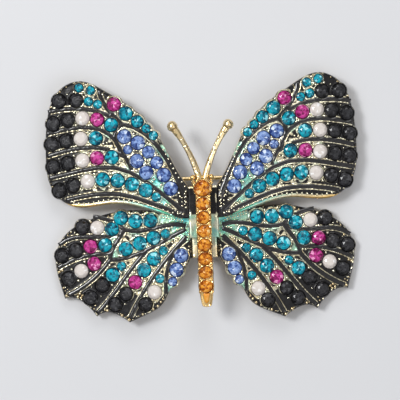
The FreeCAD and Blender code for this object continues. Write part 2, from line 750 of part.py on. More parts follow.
def pin():
    """The stem: an eye ring on the pivot, a straight shank and a ground point."""
    x, y = -size("hinge_x"), size("pin_y")
    ring = cylinder(
        "PinEye", "Sizes.eye_ring_dia / 2", "Sizes.eye_ring_width",
        Vector(x, y - size("eye_ring_width") / 2, PIN_Z), ALONG_Y,
    )
    start = (size("pivot_dia") + size("eye_ring_dia")) / 4
    shank = cylinder(
        "PinShank", "Sizes.pin_dia / 2",
        "Sizes.hinge_x + Sizes.catch_x + Sizes.pin_overrun - Sizes.pin_point"
        " - (Sizes.pivot_dia + Sizes.eye_ring_dia) / 4",
        Vector(x + start, y, PIN_Z), ALONG_X,
    )
    point = make(
        "Part::Cone", "PinPoint",
        Radius1="Sizes.pin_dia / 2", Radius2="Sizes.pin_dia / 12", Height="Sizes.pin_point",
    )
    tip = size("catch_x") + size("pin_overrun") - size("pin_point")
    point.Placement = Placement(Vector(tip, y, PIN_Z), Rotation(Vector(0, 0, 1), ALONG_X))
    bore = cylinder(
        "PinEyeBore", "Sizes.pivot_dia / 2 + Sizes.running_clearance", "Sizes.eye_ring_width * 2",
        Vector(x, y - size("eye_ring_width"), PIN_Z), ALONG_Y,
    )
    keep("pin_stem", cut("PinStem", fuse("PinMetal", [ring, shank, point]), [bore]))


def slot(tag, x_low, x_high):
    """The way in for the pin, from the middle of the catch straight down."""
    half = size("pin_dia") / 2 + size("slot_room")
    low = Vector(x_low, size("pin_y") - half, -size("finding_radius"))
    return box(tag, low, Vector(x_high, size("pin_y") + half, PIN_Z))


def catch():
    """The fixed catch: two cheeks with a slotted barrel between them, under a foot."""
    x, y = size("catch_x"), size("pin_y")
    half = size("sleeve_length") / 2 + size("side_clearance")
    outer = half + size("cheek_thickness")
    foot, wing, foot_z = finding_foot("Catch", x, outer)
    barrel = cylinder(
        "Barrel", "Sizes.pin_dia / 2 + Sizes.pin_room + Sizes.barrel_wall",
        "Sizes.sleeve_length + 2 * Sizes.side_clearance", Vector(x - half, y, PIN_Z), ALONG_X,
    )
    metal = [foot, barrel]
    top = foot_z + size("foot_thickness") / 2
    for number, low_x in enumerate((x + half, x - outer), 1):
        metal.append(
            cylinder(
                "CheekRound%d" % number, "Sizes.finding_radius", "Sizes.cheek_thickness",
                Vector(low_x, y, PIN_Z), ALONG_X,
            )
        )
        middle = low_x + size("cheek_thickness") / 2
        leg = upright(
            "CheekLeg%d" % number, middle, y, size("cheek_thickness") / 2, size("finding_radius"), top
        )
        metal.append(leg)
    bore = cylinder(
        "BarrelBore", "Sizes.pin_dia / 2 + Sizes.pin_room", "Sizes.sleeve_length * 4",
        Vector(x - size("sleeve_length") * 2, y, PIN_Z), ALONG_X,
    )
    opened = fuse("CatchOpening", [bore, slot("CatchSlot", x - outer * 2, x + outer * 2)])
    keep("catch_base", cut("CatchBase", fuse("CatchMetal", metal), [wing, opened]))


def catch_sleeve():
    """The turning sleeve round the barrel, slotted like it, with a lever to push."""
    x, y = size("catch_x"), size("pin_y")
    half = size("sleeve_length") / 2
    outer = cylinder(
        "SleeveOuter", "Sizes.finding_radius", "Sizes.sleeve_length",
        Vector(x - half, y, PIN_Z), ALONG_X,
    )
    lever = doc.addObject("Part::Box", "SleeveLever")
    mid = size("finding_radius") - size("barrel_wall") / 4
    lever.Length, lever.Width = size("sleeve_length"), size("lever_reach") - mid
    lever.Height = size("lever_thickness")
    offset = Placement(Vector(-half, mid, -size("lever_thickness") / 2), Rotation())
    turned = Placement(Vector(x, y, PIN_Z), Rotation(ALONG_X, size("lever_angle")))
    lever.Placement = turned * offset
    bore = cylinder(
        "SleeveBore",
        "Sizes.pin_dia / 2 + Sizes.pin_room + Sizes.barrel_wall + Sizes.side_clearance",
        "Sizes.sleeve_length * 2", Vector(x - half * 2, y, PIN_Z), ALONG_X,
    )
    opened = fuse("SleeveOpening", [bore, slot("SleeveSlot", x - half * 2, x + half * 2)])
    keep("catch_sleeve", cut("CatchSleeve", fuse("SleeveMetal", [outer, lever]), [opened]))


wing_casting("hindwing")
wing_casting("forewing")
body_casting()
eyes()
for word, side in SIDES:
    antenna(word, side)
washers()
hinge()
pin()
catch()
catch_sleeve()
doc.recompute()

broken = [o.Name for o in doc.Objects if "Invalid" in o.State or "Error" in o.State]
for label, item in kept.items():
    if item.Shape.isNull() or not item.Shape.isValid() or not item.Shape.Solids:
        broken.append(label)
if broken:
    raise SystemExit("failed objects: " + ", ".join(broken))
os.makedirs("parts", exist_ok=True)
for label, item in kept.items():
    item.Shape.exportStep("parts/%s.step" % label)
    print(label, len(item.Shape.Solids), round(item.Shape.Volume, 2))
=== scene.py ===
"""Looks of the butterfly brooch: castings in relief, cut stones, enamel, beads and pin finding."""
import json
import math
import random
from collections import namedtuple

import bmesh
import bpy
import numpy as np
from bpy.props import FloatProperty, FloatVectorProperty, IntProperty, PointerProperty
from mathutils import Euler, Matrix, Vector, noise
from mathutils.geometry import delaunay_2d_cdt

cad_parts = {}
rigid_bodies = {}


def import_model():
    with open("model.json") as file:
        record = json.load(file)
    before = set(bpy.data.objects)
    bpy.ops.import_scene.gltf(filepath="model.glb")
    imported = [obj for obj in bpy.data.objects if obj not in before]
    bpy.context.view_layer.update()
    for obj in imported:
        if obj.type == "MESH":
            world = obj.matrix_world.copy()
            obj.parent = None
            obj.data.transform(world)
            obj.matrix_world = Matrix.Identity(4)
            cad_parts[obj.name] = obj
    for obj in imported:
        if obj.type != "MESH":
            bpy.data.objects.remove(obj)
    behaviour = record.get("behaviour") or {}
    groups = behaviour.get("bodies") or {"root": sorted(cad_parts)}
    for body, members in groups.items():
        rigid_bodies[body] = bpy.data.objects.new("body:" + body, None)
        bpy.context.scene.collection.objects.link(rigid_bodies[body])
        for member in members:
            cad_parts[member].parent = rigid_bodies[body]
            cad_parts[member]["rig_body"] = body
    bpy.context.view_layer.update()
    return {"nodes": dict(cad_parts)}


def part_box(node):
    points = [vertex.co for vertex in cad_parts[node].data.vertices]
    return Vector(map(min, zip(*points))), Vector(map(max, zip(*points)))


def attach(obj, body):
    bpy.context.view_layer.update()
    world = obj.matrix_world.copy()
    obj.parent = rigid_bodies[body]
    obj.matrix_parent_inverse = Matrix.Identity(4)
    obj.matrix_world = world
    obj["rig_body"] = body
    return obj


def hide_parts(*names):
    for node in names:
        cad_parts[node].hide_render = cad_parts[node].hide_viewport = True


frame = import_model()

bl_info = {
    "name": "Butterfly Brooch",
    "version": (1, 0, 0),
    "blender": (4, 5, 0),
    "location": "View3D > Sidebar > Brooch",
    "description": "Builds a stone-set butterfly brooch around its packed frame",
    "category": "Add Mesh",
}

MM = 1000.0  # millimetres in a metre: the working arrays are in millimetres
SIDES = (("left", -1), ("right", 1))
WINGS = ("hindwing", "forewing")
COLOURS = ("jet", "opal", "fuchsia", "teal", "sapphire")
# A wing's face in its own plane: heights over the plain face, tone from black (0) to plate (1), tint
# from deep gold (-1) over pale gold (0) to mint and green (1), and the distance to the nearest vein.
Relief = namedtuple("Relief", "points tris height tone tint d_vein")
BACK_TONE, BACK_TINT = 1.0, -0.5  # plain gold backs
BRIGHT_TONE, DARK_TONE, STRIP_TONE = 0.95, 0.05, 0.04
VEIN_FLOOR, VEIN_LIP = -0.36, -0.04  # millimetres: heights of a vein's channel and of its upper edge
LEVEL = 0.01  # millimetres: heights nearer than this are one level
ON_LINE = 1e-4  # millimetres: a point nearer than this to a line is on it
FAR_OFF = 1e9
BATCH = 1500  # points that are measured at once


def length(name, default, text, low=0.0):
    return FloatProperty(name=name, default=default, description=text, min=low, precision=5,
                         subtype="DISTANCE", unit="LENGTH")


def colour(name, default, text):
    return FloatVectorProperty(name=name, default=default, description=text, size=3, min=0, max=1,
                               subtype="COLOR")


class BroochStones(bpy.types.PropertyGroup):
    """Cut and colours of the stones."""
    table: FloatProperty(name="Table", default=0.58, min=0.4, max=0.7,
                         description="Table width as a share of the stone")
    crown: FloatProperty(name="Crown", default=0.18, min=0.1, max=0.19,
                         description="Crown height as a share of the stone")
    tilt: FloatProperty(name="Setting tilt", default=math.radians(1.6), subtype="ANGLE", unit="ROTATION",
                        description="Most that a stone leans in its seat")
    teal: colour("Teal", (0.0, 0.20, 0.28), "Body colour of the teal stones")
    fuchsia: colour("Fuchsia", (0.37, 0.018, 0.165), "Body colour of the fuchsia stones")
    sapphire: colour("Sapphire", (0.10, 0.185, 0.46), "Body colour of the light sapphire stones")
    opal: colour("Opal", (0.63, 0.58, 0.54), "Body colour of the milky stones")
    jet: colour("Jet", (0.017, 0.017, 0.019), "Body colour of the jet stones")
    amber: colour("Amber", (0.58, 0.17, 0.012), "Body colour of the body stones")


class BroochCastings(bpy.types.PropertyGroup):
    """Relief of the castings."""
    thickness: length("Thickness", 0.0016, "Thickness of a wing casting")
    tilt: FloatProperty(name="Wing tilt", default=math.radians(6.9), subtype="ANGLE", unit="ROTATION",
                        description="How far a wing slopes down from its bend")
    forewing_bend: length("Forewing bend", 0.0026, "Distance of the forewing bend from the middle")
    hindwing_bend: length("Hindwing bend", 0.0022, "Distance of the hindwing bend from the middle")
    pitch: length("Relief pitch", 0.00013, "Spacing of the points that carry the relief", 0.00005)
    rim_height: length("Rim height", 0.00017, "Height of the rims beside the veins")
    collar_height: length("Collar height", 0.00011, "Height of the metal round a stone")
    field_drop: length("Field drop", 0.00014, "How far the plain metal lies below the face")
    bridge_end: length("Bridge end", 0.0073, "How far the forewing bridge reaches along the body")
    skirt: length("Skirt", 0.00064, "Width of the bevel along the lower edge of the forewings")
    gold: colour("Gold", (0.80, 0.75, 0.56), "Pale gold plate")
    mint: colour("Mint", (0.34, 0.78, 0.58), "Green tint of the plate")
    green: colour("Green", (0.03, 0.36, 0.20), "Deepest tint, along the lower edge of the forewings")
    turquoise: colour("Turquoise", (0.03, 0.46, 0.50), "Blue tint of the plate")
    black: colour("Black", (0.010, 0.0095, 0.010), "Blackened recesses")


class BroochBeads(bpy.types.PropertyGroup):
    """Beads on the castings."""
    prong: length("Setting bead", 0.00054, "Diameter of the beads beside the stones")
    milgrain: length("Edge bead", 0.00046, "Diameter of the beads along the edges")
    spacing: length("Edge bead spacing", 0.00092, "Distance between edge beads")
    seed: IntProperty(name="Seed", default=7, description="Seed for the beads' turns")


class BroochAntennae(bpy.types.PropertyGroup):
    """Antennae."""
    wire: length("Wire", 0.00112, "Diameter of the antenna wire")
    ball: length("Ball", 0.00198, "Diameter of the ball")
    flare: length("Flare", 0.00140, "Diameter of the cup under the ball")
    groove: length("Groove", 0.00014, "Depth of the grooves along the wire")
    pits: IntProperty(name="Pits", default=7, min=1, description="Number of small pits along a wire")


class BroochStage(bpy.types.PropertyGroup):
    """Floor, light and camera."""
    floor: colour("Floor", (0.605, 0.612, 0.628), "Colour of the floor")
    distance: length("Camera distance", 0.5, "Height of the camera above the brooch")
    field: length("Field width", 0.07365, "Width that the camera sees")
    roll: FloatProperty(name="Roll", default=math.radians(-2.2), subtype="ANGLE", unit="ROTATION",
                        description="Turn of the camera about its own line")


# ---------------------------------------------------------------- plane geometry

def loops_of(points, faces):
    """The closed outlines of a set of faces, each as an array of points."""
    seen = {}
    for face in faces:
        for a, b in zip(face, face[1:] + face[:1]):
            seen[(a, b)] = True
    follow = {}
    for a, b in seen:
        if (b, a) not in seen:
            follow.setdefault(a, []).append(b)
    loops = []
    while follow:
        start = next(iter(follow))
        chain, at = [start], start
        while True:
            following = follow[at].pop()
            if not follow[at]:
                del follow[at]
            if following == start or following not in follow:
                break
            chain.append(following)
            at = following
        if len(chain) > 2:
            loops.append(np.array([points[i] for i in chain]))
    return loops


def resample(loop, step):
    """The loop with its long edges divided."""
    out = []
    for a, b in zip(loop, np.roll(loop, -1, 0)):
        parts = max(1, int(math.ceil(np.hypot(*(b - a)) / step)))
        out += [a + (b - a) * k / parts for k in range(parts)]
    return np.array(out)


def segments(loops):
    return np.concatenate([np.hstack([loop, np.roll(loop, -1, 0)]) for loop in loops])


def nearest(points, segs):
    """Distance from each point to the segments, and which segment is the nearest."""
    a, b = segs[:, :2], segs[:, 2:]
    run = b - a
    square = np.maximum((run ** 2).sum(1), 1e-12)
    far, which = np.empty(len(points)), np.empty(len(points), int)
    for low in range(0, len(points), BATCH):
        p = points[low:low + BATCH, None, :]
        t = np.clip(((p - a) * run).sum(2) / square, 0, 1)
        gap = ((p - a - t[..., None] * run) ** 2).sum(2)
        which[low:low + BATCH] = gap.argmin(1)
        far[low:low + BATCH] = np.sqrt(gap.min(1))
    return far, which


def inside(points, segs):
    """Even-odd test of each point against closed loops."""
    ax, ay, bx, by = segs.T
    result = np.zeros(len(points), bool)
    for low in range(0, len(points), BATCH):
        x, y = points[low:low + BATCH, 0, None], points[low:low + BATCH, 1, None]
        crosses = (ay > y) != (by > y)
        with np.errstate(divide="ignore", invalid="ignore"):
            at = ax + (y - ay) * (bx - ax) / (by - ay)
        result[low:low + BATCH] = (crosses & (x < at)).sum(1) % 2 == 1
    return result


def bump(value, centre, width):
    """1 at the centre, falling to 0 at a width from it."""
    return np.clip(1 - ((value - centre) / width) ** 2, 0, 1)


def smooth(value, low, high):
    """0 below low, 1 above high, with a soft step between."""
    t = np.clip((value - low) / (high - low), 0, 1)
    return t * t * (3 - 2 * t)


def stone_gap(points, stones):
    """Distance from each point to the nearest girdle, below zero inside it."""
    gap = np.full(len(points), FAR_OFF)
    for x, y, r in stones:
        gap = np.minimum(gap, np.hypot(points[:, 0] - x, points[:, 1] - y) - r)
    return gap


# ---------------------------------------------------------------- meshes from the frame

def merged(node):
    """A node's mesh with its doubles merged, as points in millimetres and faces."""
    bm = bmesh.new()
    bm.from_mesh(frame["nodes"][node].data)
    bmesh.ops.remove_doubles(bm, verts=bm.verts, dist=1e-6)
    bm.verts.ensure_lookup_table()
    points = np.array([v.co[:] for v in bm.verts]) * MM
    faces = [[v.index for v in f.verts] for f in bm.faces]
    bm.free()
    return points, faces


def islands(points, faces):
    """Groups of joined points, as lists of indices."""
    parent = list(range(len(points)))

    def root(i):
        while parent[i] != i:
            parent[i] = parent[parent[i]]
            i = parent[i]
        return i
    for face in faces:
        for i in face[1:]:
            parent[root(face[0])] = root(i)
    groups = {}
    for i in range(len(points)):
        groups.setdefault(root(i), []).append(i)
    return list(groups.values())


def wing_place(wing):
    """A wing's bend, the height of its back, its slope and its thickness."""
    castings = bpy.context.scene.brooch_castings
    bend = getattr(castings, wing + "_bend") * MM
    thick = castings.thickness * MM
    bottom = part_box(wing + "_casting")[1].z * MM - thick
    return bend, bottom, castings.tilt, thick


def to_wing(points, wing):
    """Points on the right-hand wing in its own plane: out, along the body, up from its back."""
    bend, bottom, tilt, _ = wing_place(wing)
    x, z = points[:, 0] - bend, points[:, 2] - bottom
    c, s = math.cos(tilt), math.sin(tilt)
    return np.stack([x * c - z * s, points[:, 1], x * s + z * c], 1)


def from_wing(points, wing, side):
    """Points in a wing's own plane, put in their place on its left or right side."""
    bend, bottom, tilt, _ = wing_place(wing)
    c, s = math.cos(tilt), math.sin(tilt)
    x = bend + points[:, 0] * c + points[:, 2] * s
    return np.stack([side * x, points[:, 1], bottom - points[:, 0] * s + points[:, 2] * c], 1)


def stones_in(node, wing=None):
    """(x, y, radius) of each stone of a node, in its wing's own plane where it has one."""
    points, faces = merged(node)
    flat = to_wing(points, wing) if wing else points
    found = []
    for group in islands(points, faces):
        low, high = flat[group].min(0), flat[group].max(0)
        found.append(((low[0] + high[0]) / 2, (low[1] + high[1]) / 2, (high[1] - low[1]) / 2))
    return found


PLANS = {}


def wing_plan(wing):
    """The wing's outline, veins and stones in its own plane, read from the frame."""
    if wing in PLANS:
        return PLANS[wing]
    points, faces = merged(wing + "_casting")
    flat = to_wing(points, wing)
    back = [f for f in faces if all(abs(flat[i][2]) < LEVEL and flat[i][0] > -LEVEL for i in f)]
    outline = max(loops_of(flat[:, :2], back), key=len)
    points, faces = merged("enamel_%s_right" % wing)
    flat = to_wing(points, wing)
    top = flat[:, 2].max()
    cover = [f for f in faces if all(abs(flat[i][2] - top) < LEVEL for i in f)]
    veins = [loop for loop in loops_of(flat[:, :2], cover) if len(loop) > 8]
    stones = {c: stones_in("%s_stones_%s_right" % (c, wing), wing) for c in COLOURS}
    PLANS[wing] = (outline, veins, stones)
    return PLANS[wing]


# ---------------------------------------------------------------- building objects

def new_object(name, points, faces, materials, smooth_faces=True, angle=None, **attributes):
    """A mesh object from points in millimetres, with point attributes."""
    mesh = bpy.data.meshes.new(name)
    mesh.from_pydata((np.asarray(points) / MM).tolist(), [], faces)
    mesh.validate()
    for key, values in attributes.items():
        layer = mesh.attributes.new(key, "FLOAT", "POINT")
        layer.data.foreach_set("value", np.asarray(values, np.float32))
    mesh.polygons.foreach_set("use_smooth", [smooth_faces] * len(mesh.polygons))
    if angle:
        mesh.set_sharp_from_angle(angle=math.radians(angle))
    obj = bpy.data.objects.new(name, mesh)
    bpy.context.scene.collection.objects.link(obj)
    for material in materials:
        mesh.materials.append(material)
    return obj


def outward(obj):
    """Merge an object's doubles and turn its faces outwards."""
    bm = bmesh.new()
    bm.from_mesh(obj.data)
    bmesh.ops.remove_doubles(bm, verts=bm.verts, dist=1e-7)
    bmesh.ops.recalc_face_normals(bm, faces=bm.faces)
    bm.to_mesh(obj.data)
    bm.free()


def copy_of(node, name, material, bevel=0.0, angle=35):
    """A merged copy of a CAD node, with softened edges, that stands for it."""
    points, faces = merged(node)
    obj = new_object(name, points, faces, [material], True, angle)
    if bevel:
        bm = bmesh.new()
        bm.from_mesh(obj.data)
        bmesh.ops.dissolve_limit(bm, angle_limit=math.radians(1), verts=bm.verts, edges=bm.edges)
        bm.to_mesh(obj.data)
        bm.free()
        obj.data.set_sharp_from_angle(angle=math.radians(angle))
        mod = obj.modifiers.new("Softened edges", "BEVEL")
        mod.width, mod.segments, mod.limit_method = bevel / MM, 2, "ANGLE"
        mod.angle_limit, mod.use_clamp_overlap, mod.harden_normals = math.radians(angle), True, False
    body = frame["nodes"][node].get("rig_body")
    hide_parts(node)
    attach(obj, body)
    return obj


def closed_relief(points, tris, height, thick, floor=0.0):
    """A solid from a triangulated plan: relief on top, straight walls, flat back.

    Returns its points, its faces, and for each point its index in the plan, counted on for the back.
    """
    top = np.column_stack([points, thick + height])
    base = np.column_stack([points, np.full(len(points), floor)])
    edges = {e: True for a, b, c in tris for e in ((a, b), (b, c), (c, a))}
    rim = [e for e in edges if (e[1], e[0]) not in edges]
    count = len(points)
    faces = [list(t) for t in tris] + [[a + count, c + count, b + count] for a, b, c in tris]
    faces += [[b, a, a + count, b + count] for a, b in rim]
    used = sorted({i for f in faces for i in f})
    renumber = {old: new for new, old in enumerate(used)}
    return np.vstack([top, base])[used], [[renumber[i] for i in f] for f in faces], np.array(used)


def triangulate(constraints, free):
    """Constrained triangles inside closed loops. Returns points and anticlockwise triangles."""
    verts, edges = [], []
    for loop in constraints:
        first = len(verts)
        verts += [Vector(p) for p in loop]
        edges += [(first + k, first + (k + 1) % len(loop)) for k in range(len(loop))]
    verts += [Vector(p) for p in free]
    found = delaunay_2d_cdt(verts, edges, [], 1, 1e-5)
    points = np.array([p[:] for p in found[0]])
    kept = []
    for t in found[2]:
        a, b, c = points[list(t)]
        area = (b[0] - a[0]) * (c[1] - a[1]) - (c[0] - a[0]) * (b[1] - a[1])
        if abs(area) > 1e-9:
            kept.append(tuple(t) if area > 0 else (t[0], t[2], t[1]))
    return points, kept


def relief_points(outline, veins, stones, pitch):
    """Constraint loops and free points that follow the edge, the veins and the stones."""
    outline = resample(outline, pitch * 1.3)
    veins = [resample(v, pitch * 1.6) for v in veins]
    rings = []
    seat_wall = (0.03, 0.008)  # two rings round a girdle, between which the seat's wall drops
    for x, y, r in stones:
        steps = max(20, int(2 * math.pi * r / (pitch * 2.0)))
        turn = np.linspace(0, 2 * math.pi, steps, endpoint=False)
        for grow in seat_wall:
            rings.append(np.stack([x + (r + grow) * np.cos(turn), y + (r + grow) * np.sin(turn)], 1))
    low, high = outline.min(0), outline.max(0)
    grid = []
    for k, y in enumerate(np.arange(low[1], high[1], pitch * 0.866)):
        row = np.arange(low[0] + (k % 2) * pitch / 2, high[0], pitch)
        grid.append(np.stack([row, np.full(len(row), y)], 1))
    free = np.concatenate(grid)
    edge = segments([outline])
    free = free[inside(free, edge)]
    free = free[stone_gap(free, stones) > seat_wall[0] + pitch * 0.4]
    free = free[nearest(free, edge)[0] > pitch * 0.5]
    free = free[nearest(free, segments(veins))[0] > pitch * 0.35]
    centres = np.array([(x, y) for x, y, _ in stones]).reshape(-1, 2)
    return [outline] + veins + rings, np.concatenate([free, centres])


def uneven(points, scale, seed=0.0):
    """Smooth noise over a plan, above and below zero."""
    return np.array([noise.noise(Vector((p[0] * scale, p[1] * scale, seed))) for p in points])


def seat_height(gap, height):
    """Seats under the stones: a step at the girdle, then a cone."""
    step, cone_top, deepest, slope = -0.20, -0.28, -1.4, 0.55
    height = np.where(gap < 0.02, step, height)
    return np.where(gap < -0.05, cone_top + np.maximum(gap, deepest) * slope, height)


def edge_facing(outline, which):
    """The outward direction of the edge segment nearest to each point."""
    run = outline[which][:, 2:] - outline[which][:, :2]
    way_round = np.sign((outline[:, 0] * outline[:, 3] - outline[:, 2] * outline[:, 1]).sum())
    out = np.stack([run[:, 1], -run[:, 0]], 1) * way_round
    return out / np.maximum(np.hypot(out[:, 0], out[:, 1]), 1e-9)[:, None]


def lower_skirt(points, out, d_edge, plain, height, tone, tint):
    """A bevel along the forewing's lower edge, green near the body and gold further out.

    A strip of plain metal above it is left black.
    """
    x, y = points.T
    facing, top_y, strip_width = -0.55, 4, 1.0
    bevel_top, bevel_fall, bevel_crown = -0.16, 0.16, 0.15
    lower = (out[:, 1] < facing) & (y < top_y)
    width = bpy.context.scene.brooch_castings.skirt * MM
    width = width * smooth(x, 1.0, 5.0) * (1 - smooth(x, 20.5, 23.0))  # it narrows at the body and the tip
    bevel = lower & (d_edge < width)
    share = np.where(bevel, 1 - d_edge / np.maximum(width, 1e-6), 0)
    curve = bevel_top - bevel_fall * share + bevel_crown * np.sin(math.pi * share)
    green_to_gold = np.clip(2.1 - x / 8.0 - 1.2 * share, -1.0, 1)
    strip = lower & (d_edge >= width) & (d_edge < width + strip_width) & plain
    tone = np.where(strip, STRIP_TONE, np.where(bevel, BRIGHT_TONE, tone))
    return np.where(bevel, curve, height), tone, np.where(bevel, green_to_gold, tint)


def wing_relief(wing):
    """Height, tone and tint of one wing's face, with its triangles."""
    castings = bpy.context.scene.brooch_castings
    fore = wing == "forewing"
    outline, veins, groups = wing_plan(wing)
    stones = [s for c in COLOURS for s in groups[c]]
    loops, free = relief_points(outline, veins, stones, castings.pitch * MM)
    points, tris = triangulate(loops, free)
    edge = segments([loops[0]])
    d_edge, which = nearest(points, edge)
    out = edge_facing(edge, which)
    vein_segs = segments(veins)
    d_vein = nearest(points, vein_segs)[0]
    on_line = d_vein <= ON_LINE
    in_vein = inside(points, vein_segs) & ~on_line
    gap = stone_gap(points, stones)
    x, y = points.T

    # Raised metal: rims beside the veins, collars round the stones, a border inside the edge.
    rim_at, collar_at, border_at = 0.13, 0.13, 0.22  # from a vein, a girdle and the edge
    collar_width, border_width = 0.12, 0.16
    border_foot, border_rise = 0.11, 0.16
    front_out, front_along, front_facing = 7.5, 10.5, -0.2  # the strip along the forewing's front edge
    rim = bump(d_vein, rim_at, rim_at) * smooth(d_edge, 0.35, 0.75)
    collar = bump(gap, collar_at, collar_width)
    costal = (out[:, 0] < front_facing) & (x < front_out) & (y < front_along) & fore
    border = np.where(costal, 0.0, bump(d_edge, border_at, border_width))
    rough = uneven(points, 1.3) * 0.02 + uneven(points, 4.0, 3.0) * 0.012
    height = -castings.field_drop * MM + rough
    height = height + np.maximum.reduce([rim * castings.rim_height, collar * castings.collar_height]) * MM
    height = np.where(border > 0, np.maximum(height, border * border_rise - border_foot), height)

    # Bright and black: plate shows on raised metal and near the stones, less towards the margin.
    patches = 0.22 + 0.78 * smooth(uneven(points, 1.25, 21.0), -0.12, 0.22)
    near_stone = (1 - smooth(gap, 0.30, 0.62)) * patches
    cell = (1 - smooth(gap, 1.3, 2.0)) * smooth(d_edge, 0.7, 1.1) * patches
    margin_from, margin_fade = 18.3 if fore else 17.0, 3.4
    from_root = x if fore else np.hypot(x * 1.02, y + 4.5) + 1.2
    margin = smooth(from_root, margin_from, margin_from + margin_fade)
    worn = smooth(uneven(points, 2.2, 9.0), -0.1, 0.35)
    tone = np.maximum.reduce([
        rim * (1 - 0.45 * margin * worn),
        collar * (1 - 0.75 * margin),
        np.maximum(near_stone, cell) * 0.85 * (1 - margin) ** 1.5,
        border * 0.75 * worn,
    ])
    tone = np.where(costal & (d_edge < 0.75) & (rim < 0.1), DARK_TONE, tone)
    if fore:
        tone *= 1 - 0.8 * (1 - smooth(x, 1.2, 3.2))

    # Tinted places, and a faint tint near the stones.
    tint = np.zeros(len(points))
    for px, py, r, strength in TINTS[wing]:
        spot = np.clip(1 - (((x - px) ** 2 + (y - py) ** 2) / r ** 2), 0, 1) * strength
        tint = np.maximum(tint, spot)
        tone = np.maximum(tone, spot * (d_vein > 0.02) * 0.9)
    faint = smooth(uneven(points, 0.35, 5.0), -0.25, 0.35)
    tint = np.maximum(tint, near_stone * 0.30 * (1 - margin) * faint)

    # The edge is rounded off, the channels and seats are sunk.
    edge_drop, edge_width = 0.24, 0.2
    height -= np.where(costal, 0.0, edge_drop) * (1 - np.clip(d_edge / edge_width, 0, 1)) ** 2
    if fore:
        height, tone, tint = lower_skirt(points, out, d_edge, (gap > 0.3) & (rim < 0.2), height, tone, tint)
    tone = tone * smooth(gap, 0.035, 0.09)
    height = np.where(in_vein, VEIN_FLOOR, height)
    height = np.where(on_line, VEIN_LIP, height)
    height = seat_height(gap, height)
    return Relief(points, tris, height, np.clip(tone, 0, 1), np.clip(tint, -1, 1), d_vein)


# Places where the plate is tinted: out, along, radius, strength in a wing's own plane.
TINTS = {
    "forewing": (
        (5.6, 3.3, 1.9, 0.95), (4.3, 1.6, 1.3, 0.9), (4.3, -0.6, 1.5, 0.8), (4.5, 9.2, 1.3, 0.9),
        (3.9, 8.0, 1.1, 0.8), (8.8, 4.2, 1.3, 0.7), (11.0, 5.6, 1.0, 0.55), (13.2, 17.4, 1.2, 0.8),
        (14.2, 12.4, 1.2, 0.5), (10.6, 6.2, 0.9, 0.4),
    ),
    "hindwing": (
        (1.0, -3.6, 2.2, 0.95), (3.2, -3.2, 2.4, 0.95), (5.0, -3.4, 1.6, 0.8), (2.6, -5.6, 1.8, 0.9),
        (1.0, -6.4, 1.9, 0.9), (14.6, -9.8, 1.3, 0.75), (10.4, -5.6, 1.6, 0.55), (4.0, -7.0, 1.0, 0.6),
        (4.6, -16.4, 1.3, 0.75), (14.6, -7.0, 1.0, 0.5), (6.4, -9.6, 0.9, 0.4),
    ),
}
# Lines of small beads near the roots, in each wing's own plane.
TRAILS = {
    "forewing": (((0.55, 0.9), (0.5, -1.6)),
                 ((1.1, 0.2), (1.05, -1.3)),
                 ((1.5, -2.6), (3.6, -1.35), (5.2, -0.5))),
    "hindwing": (((1.5, -4.1), (5.5, -3.2)),
                 ((1.7, -3.6), (5.5, -2.7)),
                 ((2.6, -7.1), (4.6, -8.3)),
                 ((6.1, -11.2), (6.6, -12.4))),
}
RELIEFS = {}


def relief_of(wing):
    """A wing's relief, worked out once."""
    if wing not in RELIEFS:
        RELIEFS[wing] = wing_relief(wing)
    return RELIEFS[wing]


def slab(low, high, pitch, soft, crown):
    """A closed block with rounded top edges and a crown, as points and faces."""
    outline = np.array([(low[0], low[1]), (high[0], low[1]), (high[0], high[1]), (low[0], high[1])], float)
    outline = resample(outline, pitch)
    xs = np.arange(low[0] + pitch / 2, high[0], pitch)
    ys = np.arange(low[1] + pitch / 2, high[1], pitch)
    free = np.array([(x, y) for x in xs for y in ys])
    points, tris = triangulate([outline], free)
    edge = nearest(points, segments([outline]))[0]
    height = crown(points) - soft * (1 - np.clip(edge / soft, 0, 1)) ** 2
    solid, faces, _ = closed_relief(points, tris, height, high[2] - low[2])
    solid[:, 2] += low[2]
    return solid, faces


def join(parts):
    """Several (points, faces, tone, tint) as one."""
    points, faces, tones, tints, shift = [], [], [], [], 0
    for p, f, tone, tint in parts:
        points.append(p)
        faces += [[i + shift for i in one] for one in f]
        tones.append(np.broadcast_to(tone, len(p)))
        tints.append(np.broadcast_to(tint, len(p)))
        shift += len(p)
    return np.vstack(points), faces, np.concatenate(tones), np.concatenate(tints)


def turned(faces, side):
    """Faces as they are on the right-hand side, and turned round on the mirrored left."""
    return faces if side > 0 else [f[::-1] for f in faces]


